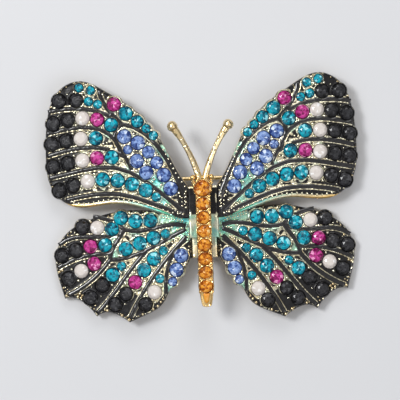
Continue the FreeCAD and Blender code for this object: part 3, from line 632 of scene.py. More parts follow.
def bridge(wing, bend, bottom, tilt, thick):
    """The flat middle of a casting, which the body stands on, as (points, faces, tone, tint)."""
    outline = wing_plan(wing)[0]
    root = outline[outline[:, 0] < 0.05]
    fore = wing == "forewing"
    low_y = -bpy.context.scene.brooch_castings.bridge_end * MM if fore else root[:, 1].min()
    high_y = max(root[:, 1].max(), 1.1)
    half = bend + thick * math.sin(tilt)
    ridge_at = half - 0.42
    pitch, softness = 0.22, 0.16
    gold_from, gold_full = 2.6, 3.4  # where the forewing's bridge turns from black to plate, downwards

    def crown(q):
        """Domed across, with an uneven ridge down each side of the body."""
        ridge = bump(np.abs(q[:, 0]), ridge_at, 0.22) * smooth(uneven(q, 0.7, 4.0), -0.3, 0.2)
        return 0.10 * ridge - 0.16 * (q[:, 0] / half) ** 2 + 0.03 * uneven(q, 1.1, 8.0) - 0.05

    p, f = slab((-half, low_y, bottom), (half, high_y, bottom + thick), pitch, softness, crown)
    ridge = bump(np.abs(p[:, 0]), ridge_at, 0.20) * smooth(uneven(p, 0.7, 4.0), -0.1, 0.3)
    bright = smooth(-p[:, 1], gold_from, gold_full) if fore else np.full(len(p), BRIGHT_TONE)
    lip = smooth(p[:, 1], high_y - 0.55, high_y - 0.2)
    patches = smooth(uneven(p, 0.55, 2.0), -0.25, 0.2)
    tone = np.clip(np.maximum.reduce([0.05 + 0.9 * bright, 0.75 * ridge, 0.9 * lip]), 0, 1)
    tint = bright * (0.12 + 0.68 * patches) * (1 - 1.7 * smooth(-p[:, 1], 7.8, 9.6)) * 0.9
    back = p[:, 2] < bottom + 0.1
    return p, f, np.where(back, BACK_TONE, tone), np.where(back, BACK_TINT, tint)


def wing_casting(wing, material):
    """Both wings of a pair and their bridge."""
    bend, bottom, tilt, thick = wing_place(wing)
    relief = relief_of(wing)
    solid, faces, used = closed_relief(relief.points, relief.tris, relief.height, thick)
    on_top = used < len(relief.points)
    tone = np.where(on_top, np.tile(relief.tone, 2)[used], BACK_TONE)
    tint = np.where(on_top, np.tile(relief.tint, 2)[used], BACK_TINT)
    parts = [(from_wing(solid, wing, side), turned(faces, side), tone, tint) for _, side in SIDES]
    parts.append(bridge(wing, bend, bottom, tilt, thick))
    all_points, all_faces, all_tone, all_tint = join(parts)
    obj = new_object(wing + "_metal", all_points, all_faces, [material], tone=all_tone, tint=all_tint)
    obj.data.set_sharp_from_angle(angle=math.radians(48))
    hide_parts(wing + "_casting")
    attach(obj, "brooch")


def enamel(wing, material):
    """Domed black enamel in the veins, one object for each side."""
    relief = relief_of(wing)
    thick = wing_place(wing)[3]
    middle = np.array([relief.points[list(t)].mean(0) for t in relief.tris])
    own = inside(middle, segments(wing_plan(wing)[1]))
    chosen = [t for t, yes in zip(relief.tris, own) if yes]
    sunk, crown, half_width, depth = 0.045, 0.10, 0.36, 0.33
    rise = np.clip(relief.d_vein / half_width, 0, 1)
    dome = -sunk + crown * (1 - (1 - rise) ** 2)
    dome = dome + uneven(relief.points, 1.7, 21.0) * 0.02 * np.clip(relief.d_vein / 0.3, 0, 1)
    solid, faces, _ = closed_relief(relief.points, chosen, dome, thick, thick - depth)
    for word, side in SIDES:
        obj = new_object("vein_enamel_%s_%s" % (wing, word), from_wing(solid, wing, side),
                         turned(faces, side), [material], True, 50)
        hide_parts("enamel_%s_%s" % (wing, word))
        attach(obj, "brooch")


# ---------------------------------------------------------------- stones

HIGHEST_CROWN = 0.38  # of a stone's radius: a leaning table stops here
GIRDLE_SUNK = 0.06  # millimetres from the face down to the girdles


def chaton(radius, table, crown, seed):
    """A round brilliant on z = 0 at its girdle top. Points, faces and each face's painted light, a random
    brightness that stands in for reflections in the facets.
    """
    rng = random.Random(seed)
    star, girdle, culet, depth = 0.80, 0.08, 0.3, 0.66  # shares of the radius
    points, faces = [], []

    def ring(count, r, z, offset=0.0):
        first = len(points)
        points.extend((r * math.cos(2 * math.pi * (k + offset) / count),
                       r * math.sin(2 * math.pi * (k + offset) / count), z) for k in range(count))
        return first

    top = crown * 2 * radius
    share = (star * radius * math.cos(math.pi / 8) / radius - table) / (1 - table)
    # Rings of points: table, stars, girdle top and bottom, culet.
    t = ring(8, table * radius, top)
    s = ring(8, star * radius, top * (1 - share), 0.5)
    g = ring(16, radius, 0.0)
    b = ring(16, radius, -girdle * radius)
    c = ring(8, culet * radius, -depth * radius)
    faces.append([t + k for k in range(8)])
    for k in range(8):
        after, before = (k + 1) % 8, (k - 1) % 8
        faces.append([t + k, s + before, g + 2 * k, s + k])
        faces.append([t + k, s + k, t + after])
        faces.append([s + k, g + 2 * k, g + 2 * k + 1])
        faces.append([s + k, g + 2 * k + 1, g + (2 * k + 2) % 16])
        faces.append([b + 2 * k, c + k, b + 2 * k + 1])
        faces.append([b + 2 * k + 1, c + k, c + after, b + (2 * k + 2) % 16])
    for k in range(16):
        faces.append([g + k, b + k, b + (k + 1) % 16, g + (k + 1) % 16])
    faces.append([c + k for k in reversed(range(8))])
    # painted light: a random brightness for each face, standing in for the reflections seen in its facets
    painted_facet_lights = [rng.random() for _ in faces]
    painted_facet_lights[0] = 0.5  # the table's painted light is middling, neither light nor dark
    return np.array(points), faces, painted_facet_lights


def stones(name, node, colour_name, found, level, wing=None, side=1):
    """The stones of one node as one faceted mesh, with a cut map, painted facet light and a number for each
    stone.
    """
    props = bpy.context.scene.brooch_stones
    points, faces, painted_facet_lights, marks, ids = [], [], [], [], []
    shift = 0
    for number, (x, y, r) in enumerate(found):
        rng = random.Random("%s %d" % (name, number))
        p, f, painted_lights = chaton(r, props.table, props.crown, rng.random())
        lean = Euler((rng.uniform(-1, 1) * props.tilt, rng.uniform(-1, 1) * props.tilt, 0)).to_matrix()
        spin = Euler((0, 0, rng.uniform(0, math.pi / 4))).to_matrix()
        q = p @ np.array(spin).T
        marks.append(q[:, :2] / r)
        q = q @ np.array(lean).T
        q[:, 2] = np.minimum(q[:, 2], HIGHEST_CROWN * r)
        points.append(q + np.array([x, y, level]))
        faces += [[i + shift for i in one] for one in f]
        painted_facet_lights += painted_lights
        ids += [rng.random()] * len(p)
        shift += len(p)
    points = np.vstack(points)
    if wing:
        points = from_wing(points, wing, side)
    obj = new_object(name, points, turned(faces, side), [materials()[colour_name]], False, None, stone=ids)
    marks = np.vstack(marks)
    layer = obj.data.uv_layers.new(name="cut")
    corner = np.zeros(len(obj.data.loops), int)
    obj.data.loops.foreach_get("vertex_index", corner)
    layer.data.foreach_set("uv", (marks[corner] * 0.5 + 0.5).astype(np.float32).ravel())
    painted_facet_light = obj.data.attributes.new("painted_facet_light", "FLOAT", "FACE")
    painted_facet_light.data.foreach_set("value", np.array(painted_facet_lights, np.float32))
    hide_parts(node)
    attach(obj, "brooch")


# ---------------------------------------------------------------- beads

NEIGHBOUR_GAP = 0.75  # millimetres between the girdles of two neighbours
BEAD_ROOM = 0.5  # millimetres between the middles of two beads
EDGE_ROOM, LINE_ROOM = 0.24, 0.10  # from a bead's middle to the edge, and to a vein or a girdle
END_REACH = 0.38  # from the girdle of a row's last stone to the beads past it
EDGE_STEP = 0.15  # millimetres between the points of an edge that beads follow
CORNER_REACHES = (0.92, 0.84, 0.76, 0.68, 0.60, 0.52)  # places to try for a bead between two stones
# Places past the last stone of a row: the turn from the row's line, and how much further out.
ROW_ENDS = ((-0.62, 0.0), (0.62, 0.0), (-0.40, 0.55), (0.40, 0.55),
            (0.0, 1.05), (0.01, 1.55), (0.02, 2.05), (0.03, 2.55))


def add_input(tree, name, kind, default=None):
    """A named input of a node tree."""
    socket = tree.interface.new_socket(name=name, in_out="INPUT", socket_type=kind)
    if default is not None:
        socket.default_value = default


def bead_tree(along_path):
    """Beads on points, or spaced along a path. Inputs: diameter, spacing, seed, material."""
    name = "Edge beads" if along_path else "Setting beads"
    if name in bpy.data.node_groups:
        return bpy.data.node_groups[name]
    tree = bpy.data.node_groups.new(name, "GeometryNodeTree")
    tree.interface.new_socket(name="Geometry", in_out="INPUT", socket_type="NodeSocketGeometry")
    tree.interface.new_socket(name="Geometry", in_out="OUTPUT", socket_type="NodeSocketGeometry")
    add_input(tree, "Diameter", "NodeSocketFloat", 0.0005)
    add_input(tree, "Spacing", "NodeSocketFloat", 0.001)
    add_input(tree, "Seed", "NodeSocketInt", 1)
    add_input(tree, "Material", "NodeSocketMaterial")
    nodes, links = tree.nodes, tree.links
    start, end = nodes.new("NodeGroupInput"), nodes.new("NodeGroupOutput")
    ball = nodes.new("GeometryNodeMeshUVSphere")
    ball.inputs["Segments"].default_value, ball.inputs["Rings"].default_value = 8, 6
    ball.inputs["Radius"].default_value = 0.5
    scatter = nodes.new("GeometryNodeInstanceOnPoints")
    spots = start.outputs["Geometry"]
    if along_path:
        curve, spread = nodes.new("GeometryNodeMeshToCurve"), nodes.new("GeometryNodeResampleCurve")
        spread.mode = "LENGTH"
        links.new(spots, curve.inputs["Mesh"])
        links.new(curve.outputs["Curve"], spread.inputs["Curve"])
        links.new(start.outputs["Spacing"], spread.inputs["Length"])
        spots = spread.outputs["Curve"]
    links.new(spots, scatter.inputs["Points"])
    links.new(ball.outputs["Mesh"], scatter.inputs["Instance"])
    share = nodes.new("GeometryNodeInputNamedAttribute")
    share.data_type = "FLOAT"
    share.inputs["Name"].default_value = "share"
    vary = nodes.new("FunctionNodeRandomValue")
    vary.data_type = "FLOAT"
    vary.inputs[2].default_value, vary.inputs[3].default_value = 0.88, 1.08  # least and most size
    links.new(start.outputs["Seed"], vary.inputs["Seed"])
    size = math_node(tree, "MULTIPLY", start.outputs["Diameter"], share.outputs["Attribute"])
    links.new(math_node(tree, "MULTIPLY", size, vary.outputs[1]), scatter.inputs["Scale"])
    turn = nodes.new("FunctionNodeRandomValue")
    turn.data_type = "FLOAT_VECTOR"
    turn.inputs[1].default_value = (6.28, 6.28, 6.28)  # a whole turn about each axis
    links.new(start.outputs["Seed"], turn.inputs["Seed"])
    links.new(turn.outputs[0], scatter.inputs["Rotation"])
    real = nodes.new("GeometryNodeRealizeInstances")
    links.new(scatter.outputs["Instances"], real.inputs["Geometry"])
    even = nodes.new("GeometryNodeSetShadeSmooth")
    links.new(real.outputs["Geometry"], even.inputs["Geometry"])
    paint = nodes.new("GeometryNodeSetMaterial")
    links.new(even.outputs["Geometry"], paint.inputs["Geometry"])
    links.new(start.outputs["Material"], paint.inputs["Material"])
    links.new(paint.outputs["Geometry"], end.inputs["Geometry"])
    return tree


def beads(name, points, material, diameter, spacing=0.001, paths=None, share=None):
    """Beads on points in millimetres, or along paths, made with the bead trees."""
    edges = []
    if paths is not None:
        points = []
        for path in paths:
            first = len(points)
            points += list(path)
            edges += [(first + k, first + k + 1) for k in range(len(path) - 1)]
    mesh = bpy.data.meshes.new(name + "_points")
    mesh.from_pydata((np.array(points) / MM).tolist(), edges, [])
    layer = mesh.attributes.new("share", "FLOAT", "POINT")
    layer.data.foreach_set("value", np.array(share or [1.0] * len(points), np.float32))
    source = bpy.data.objects.new(name + "_points", mesh)
    bpy.context.scene.collection.objects.link(source)
    mod = source.modifiers.new("Beads", "NODES")
    mod.node_group = bead_tree(paths is not None)
    keys = {s.name: s.identifier for s in mod.node_group.interface.items_tree if s.in_out == "INPUT"}
    mod[keys["Diameter"]] = diameter
    mod[keys["Spacing"]] = spacing
    mod[keys["Seed"]] = bpy.context.scene.brooch_beads.seed
    mod[keys["Material"]] = material
    graph = bpy.context.evaluated_depsgraph_get()
    plain = bpy.data.meshes.new_from_object(source.evaluated_get(graph), depsgraph=graph)
    bpy.data.objects.remove(source)
    obj = bpy.data.objects.new(name, plain)
    bpy.context.scene.collection.objects.link(obj)
    if not plain.materials:
        plain.materials.append(material)
    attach(obj, "brooch")


def prong_places(wing):
    """Beads in the corners between neighbouring stones, and past the ends of the rows."""
    outline, veins, groups = wing_plan(wing)
    all_stones = [(x, y, r, c) for c in COLOURS for x, y, r in groups[c]]
    edge, vein = segments([outline]), segments(veins)
    near = {i: [] for i in range(len(all_stones))}
    wanted = []
    for i, (x, y, r, c) in enumerate(all_stones):
        for j in range(i + 1, len(all_stones)):
            x2, y2, r2, c2 = all_stones[j]
            far = math.hypot(x2 - x, y2 - y)
            if far >= r + r2 + NEIGHBOUR_GAP:
                continue
            near[i].append(j)
            near[j].append(i)
            at = r + (far - r - r2) / 2
            ux, uy = (x2 - x) / far, (y2 - y) / far
            mx, my = x + ux * at, y + uy * at
            share = 0.62 if c == "jet" and c2 == "jet" else 1.0
            small = min(r, r2)
            for way in (-1, 1):
                for reach in CORNER_REACHES:
                    wanted.append((mx - uy * way * small * reach, my + ux * way * small * reach,
                                   share, (i, j, way)))
    for i, (x, y, r, c) in enumerate(all_stones):
        if len(near[i]) != 1:
            continue
        x2, y2 = all_stones[near[i][0]][:2]
        away = math.atan2(y - y2, x - x2)
        for way, further in ROW_ENDS:
            reach = r + END_REACH + further
            share = 0.66 if c == "jet" else (0.85 if further else 1.0)
            wanted.append((x + reach * math.cos(away + way), y + reach * math.sin(away + way),
                           share, (i, -1, way)))
    spots = np.array([w[:2] for w in wanted])
    d_edge, d_vein = nearest(spots, edge)[0], nearest(spots, vein)[0]
    ok = inside(spots, edge) & (d_edge > EDGE_ROOM) & ~inside(spots, vein) & (d_vein > LINE_ROOM)
    ok &= stone_gap(spots, [s[:3] for s in all_stones]) > LINE_ROOM
    taken, done = [], set()
    for (x, y, share, key), fine in zip(wanted, ok):
        if fine and key not in done and all(math.hypot(x - a, y - b) > BEAD_ROOM for a, b, _ in taken):
            taken.append((x, y, share))
            done.add(key)
    return taken


def runs_of(points, good, least):
    """Stretches of neighbouring good points, each of at least so many."""
    runs, run = [], []
    for point, fine in zip(points, good):
        if fine:
            run.append(point)
        elif run:
            runs.append(run)
            run = []
    return [np.array(r) for r in runs + [run] if len(r) >= least]


def edge_path(wing, keep, inset):
    """Points inside the edge by an inset, where keep says so, as runs."""
    outline = resample(wing_plan(wing)[0], EDGE_STEP)
    area = (outline[:, 0] * np.roll(outline[:, 1], -1) - np.roll(outline[:, 0], -1) * outline[:, 1]).sum()
    if area < 0:
        outline = outline[::-1]
    ahead = np.roll(outline, -3, 0) - np.roll(outline, 3, 0)
    ahead /= np.hypot(ahead[:, 0], ahead[:, 1])[:, None]
    inner = outline + np.stack([-ahead[:, 1], ahead[:, 0]], 1) * inset
    good = np.array([keep(x, y, -t[1], t[0]) for (x, y), t in zip(outline, ahead)])
    good &= nearest(inner, segments([outline]))[0] > inset * 0.9
    start = int(np.argmin(good))
    inner, good = np.roll(inner, -start, 0), np.roll(good, -start)
    return runs_of(inner, good, 5)


def clear_runs(runs, wing, room):
    """The runs without what lies nearer to a stone or a vein than the room."""
    veins, groups = wing_plan(wing)[1:]
    vein = segments(veins)
    plain = [s for c in COLOURS for s in groups[c]]
    out = []
    for run in runs:
        free = (stone_gap(run, plain) > room) & (nearest(run, vein)[0] > room) & ~inside(run, vein)
        out += runs_of(run, free, 4)
    return out


def scattered_beads(name, wing, runs, diameter):
    """Worn beads of uneven size, irregularly spaced along the runs, with gaps."""
    rng = random.Random(name)
    missing, stray, sunk = 0.12, 0.1, 0.07  # share of beads worn away, and millimetres aside and down
    spots, shares = [], []
    for run in clear_runs(runs, wing, EDGE_ROOM):
        k = rng.randint(0, 3)
        while k < len(run):
            if rng.random() > missing:
                spots.append(run[k] + np.array([rng.uniform(-stray, stray), rng.uniform(-stray, stray)]))
                shares.append(rng.choice((0.55, 0.75, 1.0, 1.2)))
            k += rng.randint(4, 8)
    sides = on_both_sides(spots, wing, -sunk)
    beads(name, np.vstack(sides), materials()["worn"], diameter, share=shares * 2)


def on_both_sides(points, wing, lift):
    """Points of a wing's plan at a height over its face, placed on both wings."""
    thick = wing_place(wing)[3]
    flat = np.column_stack([np.asarray(points)[:, :2], np.full(len(points), thick + lift)])
    return [from_wing(flat, wing, side) for _, side in SIDES]


# ---------------------------------------------------------------- materials

COLOUR_MIX = (0, 6, 7)  # the Mix node's sockets for its factor and its two colours
SOCKETS = {"metallic": "Metallic", "roughness": "Roughness", "specular": "Specular IOR Level",
           "coat": "Coat Weight", "coat_roughness": "Coat Roughness"}


def group_tree(name, inputs, outputs):
    """A new shader node group with named inputs and outputs, all of them numbers."""
    tree = bpy.data.node_groups.new(name, "ShaderNodeTree")
    for key, default in inputs.items():
        add_input(tree, key, "NodeSocketFloat", default)
    for key in outputs:
        tree.interface.new_socket(name=key, in_out="OUTPUT", socket_type="NodeSocketFloat")
    return tree, tree.nodes.new("NodeGroupInput"), tree.nodes.new("NodeGroupOutput")


def math_node(tree, kind, a, b, clamp=False):
    """One sum of two numbers or outputs."""
    node = tree.nodes.new("ShaderNodeMath")
    node.operation, node.use_clamp = kind, clamp
    for slot, value in enumerate((a, b)):
        if isinstance(value, (int, float)):
            node.inputs[slot].default_value = value
        else:
            tree.links.new(value, node.inputs[slot])
    return node.outputs[0]


def attribute(tree, name):
    """The number that a mesh carries under a name."""
    node = tree.nodes.new("ShaderNodeAttribute")
    node.attribute_name = name
    return node.outputs["Fac"]


def map_range(tree, value, low, high, kind="LINEAR"):
    """0 below low, 1 above high."""
    node = tree.nodes.new("ShaderNodeMapRange")
    node.interpolation_type = kind
    node.inputs["From Min"].default_value, node.inputs["From Max"].default_value = low, high
    tree.links.new(value, node.inputs["Value"])
    return node.outputs[0]


def noise_of(tree, scale, detail):
    """Noise over the object's own coordinates. The scale is a number or an output."""
    where, node = tree.nodes.new("ShaderNodeTexCoord"), tree.nodes.new("ShaderNodeTexNoise")
    tree.links.new(where.outputs["Object"], node.inputs["Vector"])
    node.inputs["Detail"].default_value = detail
    if isinstance(scale, float):
        node.inputs["Scale"].default_value = scale
    else:
        tree.links.new(scale, node.inputs["Scale"])
    return node.outputs[0]


def mix_node(tree, factor, a, b):
    """A mix of two colours or outputs."""
    node = tree.nodes.new("ShaderNodeMix")
    node.data_type = "RGBA"
    for slot, value in zip(COLOUR_MIX, (factor, a, b)):
        if isinstance(value, bpy.types.NodeSocket):
            tree.links.new(value, node.inputs[slot])
        else:
            node.inputs[slot].default_value = (*value, 1)
    return node.outputs[2]


def wear_group():
    """Fine surface of plated metal: spots of wear, hairlines and a height for bump."""
    if "Plate wear" in bpy.data.node_groups:
        return bpy.data.node_groups["Plate wear"]
    tree, start, end = group_tree("Plate wear", {"Scale": 900.0, "Wear": 0.4},
                                  ("Mask", "Roughness", "Height"))
    coarse = noise_of(tree, start.outputs["Scale"], 3.0)
    fine = noise_of(tree, math_node(tree, "MULTIPLY", start.outputs["Scale"], 5.5), 5.0)
    spots = math_node(tree, "MULTIPLY", math_node(tree, "SUBTRACT", coarse, 0.42, True), 3.2)
    mask = math_node(tree, "MULTIPLY", spots, start.outputs["Wear"], True)
    tree.links.new(mask, end.inputs["Mask"])
    rough = math_node(tree, "ADD", math_node(tree, "MULTIPLY", fine, 0.16),
                      math_node(tree, "MULTIPLY", mask, 0.22))
    tree.links.new(rough, end.inputs["Roughness"])
    both = math_node(tree, "ADD", math_node(tree, "MULTIPLY", coarse, 0.6),
                     math_node(tree, "MULTIPLY", fine, 0.25))
    tree.links.new(both, end.inputs["Height"])
    return tree


def cut_group():
    """Painted reflections seen through a foiled stone, from its cut map: light and dark shards, a painted
    dark rim and painted glints.
    """
    if "Foiled cut" in bpy.data.node_groups:
        return bpy.data.node_groups["Foiled cut"]
    tree, start, end = group_tree(
        "Foiled cut", {"Shards": 16.0, "Rings": 2.3, "Contrast": 1.0, "Outline": 0.4},
        ("Light", "Painted glint", "Height"))
    cut = tree.nodes.new("ShaderNodeUVMap")
    cut.uv_map = "cut"
    middle = tree.nodes.new("ShaderNodeVectorMath")
    middle.operation = "MULTIPLY_ADD"
    middle.inputs[1].default_value, middle.inputs[2].default_value = (2, 2, 0), (-1, -1, 0)
    tree.links.new(cut.outputs[0], middle.inputs[0])
    parts = tree.nodes.new("ShaderNodeSeparateXYZ")
    tree.links.new(middle.outputs[0], parts.inputs[0])
    turn = math_node(tree, "ARCTAN2", parts.outputs[1], parts.outputs[0])
    size = tree.nodes.new("ShaderNodeVectorMath")
    size.operation = "LENGTH"
    tree.links.new(middle.outputs[0], size.inputs[0])
    from_middle = size.outputs["Value"]
    # Shards of painted light and shade: sectors that twist a little outwards, cut by rings, with a chance of
    # their own.
    around = math_node(tree, "ADD", math_node(tree, "DIVIDE", turn, 2 * math.pi),
                       math_node(tree, "MULTIPLY", from_middle, 0.06))
    sector = math_node(tree, "MULTIPLY", around, start.outputs["Shards"])
    ring = math_node(tree, "MULTIPLY", from_middle, start.outputs["Rings"])
    cell = tree.nodes.new("ShaderNodeCombineXYZ")
    tree.links.new(math_node(tree, "FLOOR", sector, 0.0), cell.inputs[0])
    tree.links.new(math_node(tree, "FLOOR", ring, 0.0), cell.inputs[1])
    tree.links.new(math_node(tree, "MULTIPLY", attribute(tree, "stone"), 91.7), cell.inputs[2])
    chance = tree.nodes.new("ShaderNodeTexWhiteNoise")
    tree.links.new(cell.outputs[0], chance.inputs[0])
    mixed = math_node(tree, "ADD", math_node(tree, "MULTIPLY", chance.outputs[0], 0.62),
                      math_node(tree, "MULTIPLY", attribute(tree, "painted_facet_light"), 0.38))
    centred = math_node(tree, "MULTIPLY", math_node(tree, "SUBTRACT", mixed, 0.5), start.outputs["Contrast"])
    # painted shade: a dark ring just inside each girdle, as strong as the Outline input says
    rim = math_node(tree, "MULTIPLY", map_range(tree, from_middle, 0.80, 0.98), start.outputs["Outline"])
    # the painted light of each shard, from dark to bright
    light = math_node(tree, "SUBTRACT", math_node(tree, "ADD", centred, 0.55), rim, True)
    tree.links.new(light, end.inputs["Light"])
    # painted glints: the few shards with the highest chance
    tree.links.new(math_node(tree, "GREATER_THAN", chance.outputs[0], 0.93), end.inputs["Painted glint"])
    tree.links.new(mixed, end.inputs["Height"])
    return tree


def shader(name):
    """A new material, its tree and its Principled BSDF."""
    material = bpy.data.materials.new(name)
    material.use_nodes = True
    return material, material.node_tree, material.node_tree.nodes["Principled BSDF"]


def place_group(tree, group, **values):
    """A shader group in a material, with its own values."""
    node = tree.nodes.new("ShaderNodeGroup")
    node.node_tree = group
    for key, value in values.items():
        node.inputs[key].default_value = value
    return node


def add_bump(tree, bsdf, height, distance, strength):
    node = tree.nodes.new("ShaderNodeBump")
    node.inputs["Distance"].default_value, node.inputs["Strength"].default_value = distance, strength
    tree.links.new(height, node.inputs["Height"])
    tree.links.new(node.outputs[0], bsdf.inputs["Normal"])


def finish_with(bsdf, **values):
    """Plain numbers on the shader's own sockets."""
    for key, value in values.items():
        bsdf.inputs[SOCKETS[key]].default_value = value


def plated(name, base, deep, wear=0.35, rough=0.14, scale=900.0):
    """Polished gold plate with a deeper colour in worn spots."""
    material, tree, bsdf = shader(name)
    group = place_group(tree, wear_group(), Scale=scale, Wear=wear)
    tree.links.new(mix_node(tree, group.outputs["Mask"], base, deep), bsdf.inputs["Base Color"])
    gloss = math_node(tree, "ADD", group.outputs["Roughness"], rough - 0.08, True)
    tree.links.new(gloss, bsdf.inputs["Roughness"])
    finish_with(bsdf, metallic=1.0)
    add_bump(tree, bsdf, group.outputs["Height"], 0.00004, 0.5)
    return material


def antique(name):
    """Antiqued casting: bright rims, tinted troughs and blackened fields, from its attributes."""
    castings = bpy.context.scene.brooch_castings
    material, tree, bsdf = shader(name)
    tone, tint = attribute(tree, "tone"), attribute(tree, "tint")
    group = place_group(tree, wear_group(), Scale=700.0, Wear=0.55)
    mask = group.outputs["Mask"]
    drift = math_node(tree, "SUBTRACT", noise_of(tree, 420.0, 2.0), 0.40, True)
    sea = mix_node(tree, math_node(tree, "MULTIPLY", drift, 4.0, True), castings.mint, castings.turquoise)
    sea = mix_node(tree, map_range(tree, tint, 0.955, 1.0), sea, castings.green)
    warm = mix_node(tree, mask, castings.gold, (0.62, 0.44, 0.17))
    deep = mix_node(tree, math_node(tree, "MULTIPLY", tint, -1.0, True), warm, (0.86, 0.58, 0.22))
    plate = mix_node(tree, math_node(tree, "MULTIPLY", tint, 1.0, True), deep, sea)
    worn = math_node(tree, "SUBTRACT", tone, math_node(tree, "MULTIPLY", mask, 0.30), True)
    bare = map_range(tree, worn, 0.22, 0.62, "SMOOTHSTEP")
    tree.links.new(mix_node(tree, bare, castings.black, plate), bsdf.inputs["Base Color"])
    metal = math_node(tree, "ADD", math_node(tree, "MULTIPLY", bare, 0.95), 0.03)
    tree.links.new(metal, bsdf.inputs["Metallic"])
    gloss = math_node(tree, "ADD", group.outputs["Roughness"], 0.16, True)
    tree.links.new(gloss, bsdf.inputs["Roughness"])
    finish_with(bsdf, specular=0.3)
    add_bump(tree, bsdf, group.outputs["Height"], 0.00006, 0.6)
    return material


def glossy_enamel(name, base, lift):
    """Cold enamel, uneven in colour and polish."""
    material, tree, bsdf = shader(name)
    group = place_group(tree, wear_group(), Scale=520.0, Wear=0.5)
    tree.links.new(mix_node(tree, group.outputs["Mask"], base, lift), bsdf.inputs["Base Color"])
    gloss = math_node(tree, "MULTIPLY", group.outputs["Roughness"], 0.8)
    tree.links.new(math_node(tree, "ADD", gloss, 0.10, True), bsdf.inputs["Roughness"])
    finish_with(bsdf, specular=0.3, coat=0.45, coat_roughness=0.06)
    add_bump(tree, bsdf, group.outputs["Height"], 0.00008, 0.35)
    return material


def glass(name, base, painted_shade_colour, bright, painted_glint, contrast=1.0, rough=0.06, coat=0.3, outline=0.45):
    """A cut stone: shards of painted shade and painted light over its colour, with a painted dark rim and
    painted glints, under a clear polish.
    """
    material, tree, bsdf = shader(name)
    # outline sets how dark the painted rim inside the girdle is
    cut = place_group(tree, cut_group(), Shards=10.0, Contrast=contrast, Outline=outline)
    # the shards run from the painted shade colour through the body colour to the painted light colour
    # (bright)
    ramp = tree.nodes.new("ShaderNodeValToRGB")
    stops = ramp.color_ramp.elements
    stops[0].position, stops[0].color = 0.12, (*painted_shade_colour, 1)
    stops[1].position, stops[1].color = 0.88, (*bright, 1)
    stops.new(0.5).color = (*base, 1)
    tree.links.new(cut.outputs["Light"], ramp.inputs["Fac"])
    # painted glints mixed over the shards
    share = math_node(tree, "MULTIPLY", cut.outputs["Painted glint"], 0.8)
    tree.links.new(mix_node(tree, share, ramp.outputs["Color"], painted_glint), bsdf.inputs["Base Color"])
    finish_with(bsdf, roughness=rough, specular=0.35, coat=coat, coat_roughness=0.02)
    add_bump(tree, bsdf, cut.outputs["Height"], 0.00003, 0.25)
    return material


MATERIALS = {}


def materials():
    """The finishes by their short names, made once."""
    if MATERIALS:
        return MATERIALS
    props = bpy.context.scene.brooch_stones
    MATERIALS.update(
        antique=antique("Antiqued casting"),
        bright=plated("Bright gold plate", (0.84, 0.58, 0.25), (0.56, 0.32, 0.09)),
        pale=plated("Pale gold beads", (0.90, 0.86, 0.68), (0.74, 0.66, 0.40), 0.2, 0.10),
        worn=plated("Worn gold beads", (0.80, 0.68, 0.44), (0.40, 0.27, 0.13), 0.8, 0.2, 1500.0),
        pin=plated("Gold-plated wire", (0.90, 0.70, 0.38), (0.72, 0.48, 0.20), 0.3, 0.18, 1400.0),
        enamel=glossy_enamel("Black enamel", (0.008, 0.0075, 0.008), (0.022, 0.020, 0.022)),
        amber_enamel=glossy_enamel("Amber enamel", (0.70, 0.27, 0.02), (0.88, 0.50, 0.10)),
        # each stone's colours round its body colour: painted shade, painted light (bright) and painted glint
        teal=glass("Teal glass", props.teal, painted_shade_colour=(0.0, 0.035, 0.07), bright=(0.005, 0.42, 0.54),
                   painted_glint=(0.40, 0.86, 0.92), contrast=1.5),
        fuchsia=glass("Fuchsia glass", props.fuchsia, painted_shade_colour=(0.09, 0.0, 0.035), bright=(0.60, 0.06, 0.32),
                      painted_glint=(0.90, 0.40, 0.66), contrast=1.4),
        sapphire=glass("Light sapphire glass", props.sapphire, painted_shade_colour=(0.015, 0.035, 0.16),
                       bright=(0.27, 0.39, 0.68), painted_glint=(0.76, 0.85, 0.95), contrast=1.7),
        opal=glass("Opal glass", props.opal, painted_shade_colour=(0.50, 0.44, 0.42), bright=(0.75, 0.71, 0.66),
                   painted_glint=(0.88, 0.88, 0.88), contrast=0.35, rough=0.12, outline=0.25),
        jet=glass("Jet glass", props.jet, painted_shade_colour=(0.004, 0.004, 0.005), bright=(0.032, 0.032, 0.036),
                  painted_glint=(0.07, 0.07, 0.076), contrast=1.4, rough=0.2, coat=0.05),
        amber=glass("Amber glass", props.amber, painted_shade_colour=(0.20, 0.035, 0.0), bright=(0.82, 0.36, 0.04),
                    painted_glint=(0.95, 0.72, 0.34), contrast=1.6),
    )
    return MATERIALS


# ---------------------------------------------------------------- body, antennae

# The head's side from the brow back: half its width, and how far behind the front.
FACE_LINE = ((0.25, 0.16), (0.6, 0.04), (0.98, 0.02), (1.10, 0.35), (1.42, 0.62), (1.98, 0.75),
             (2.02, 1.05), (1.85, 1.25), (1.80, 1.6), (1.80, 2.1), (1.78, 2.5))
# A post, peened at its end: radius, and height over the end.
POST = ((0.0, 0.02), (0.45, 0.03), (0.8, 0.09), (1.05, 0.2), (1.14, 0.33), (1.12, 0.40), (0.80, 0.40),
        (0.80, 4.0), (0.0, 4.0))
WASHER_RADIUS = 1.5


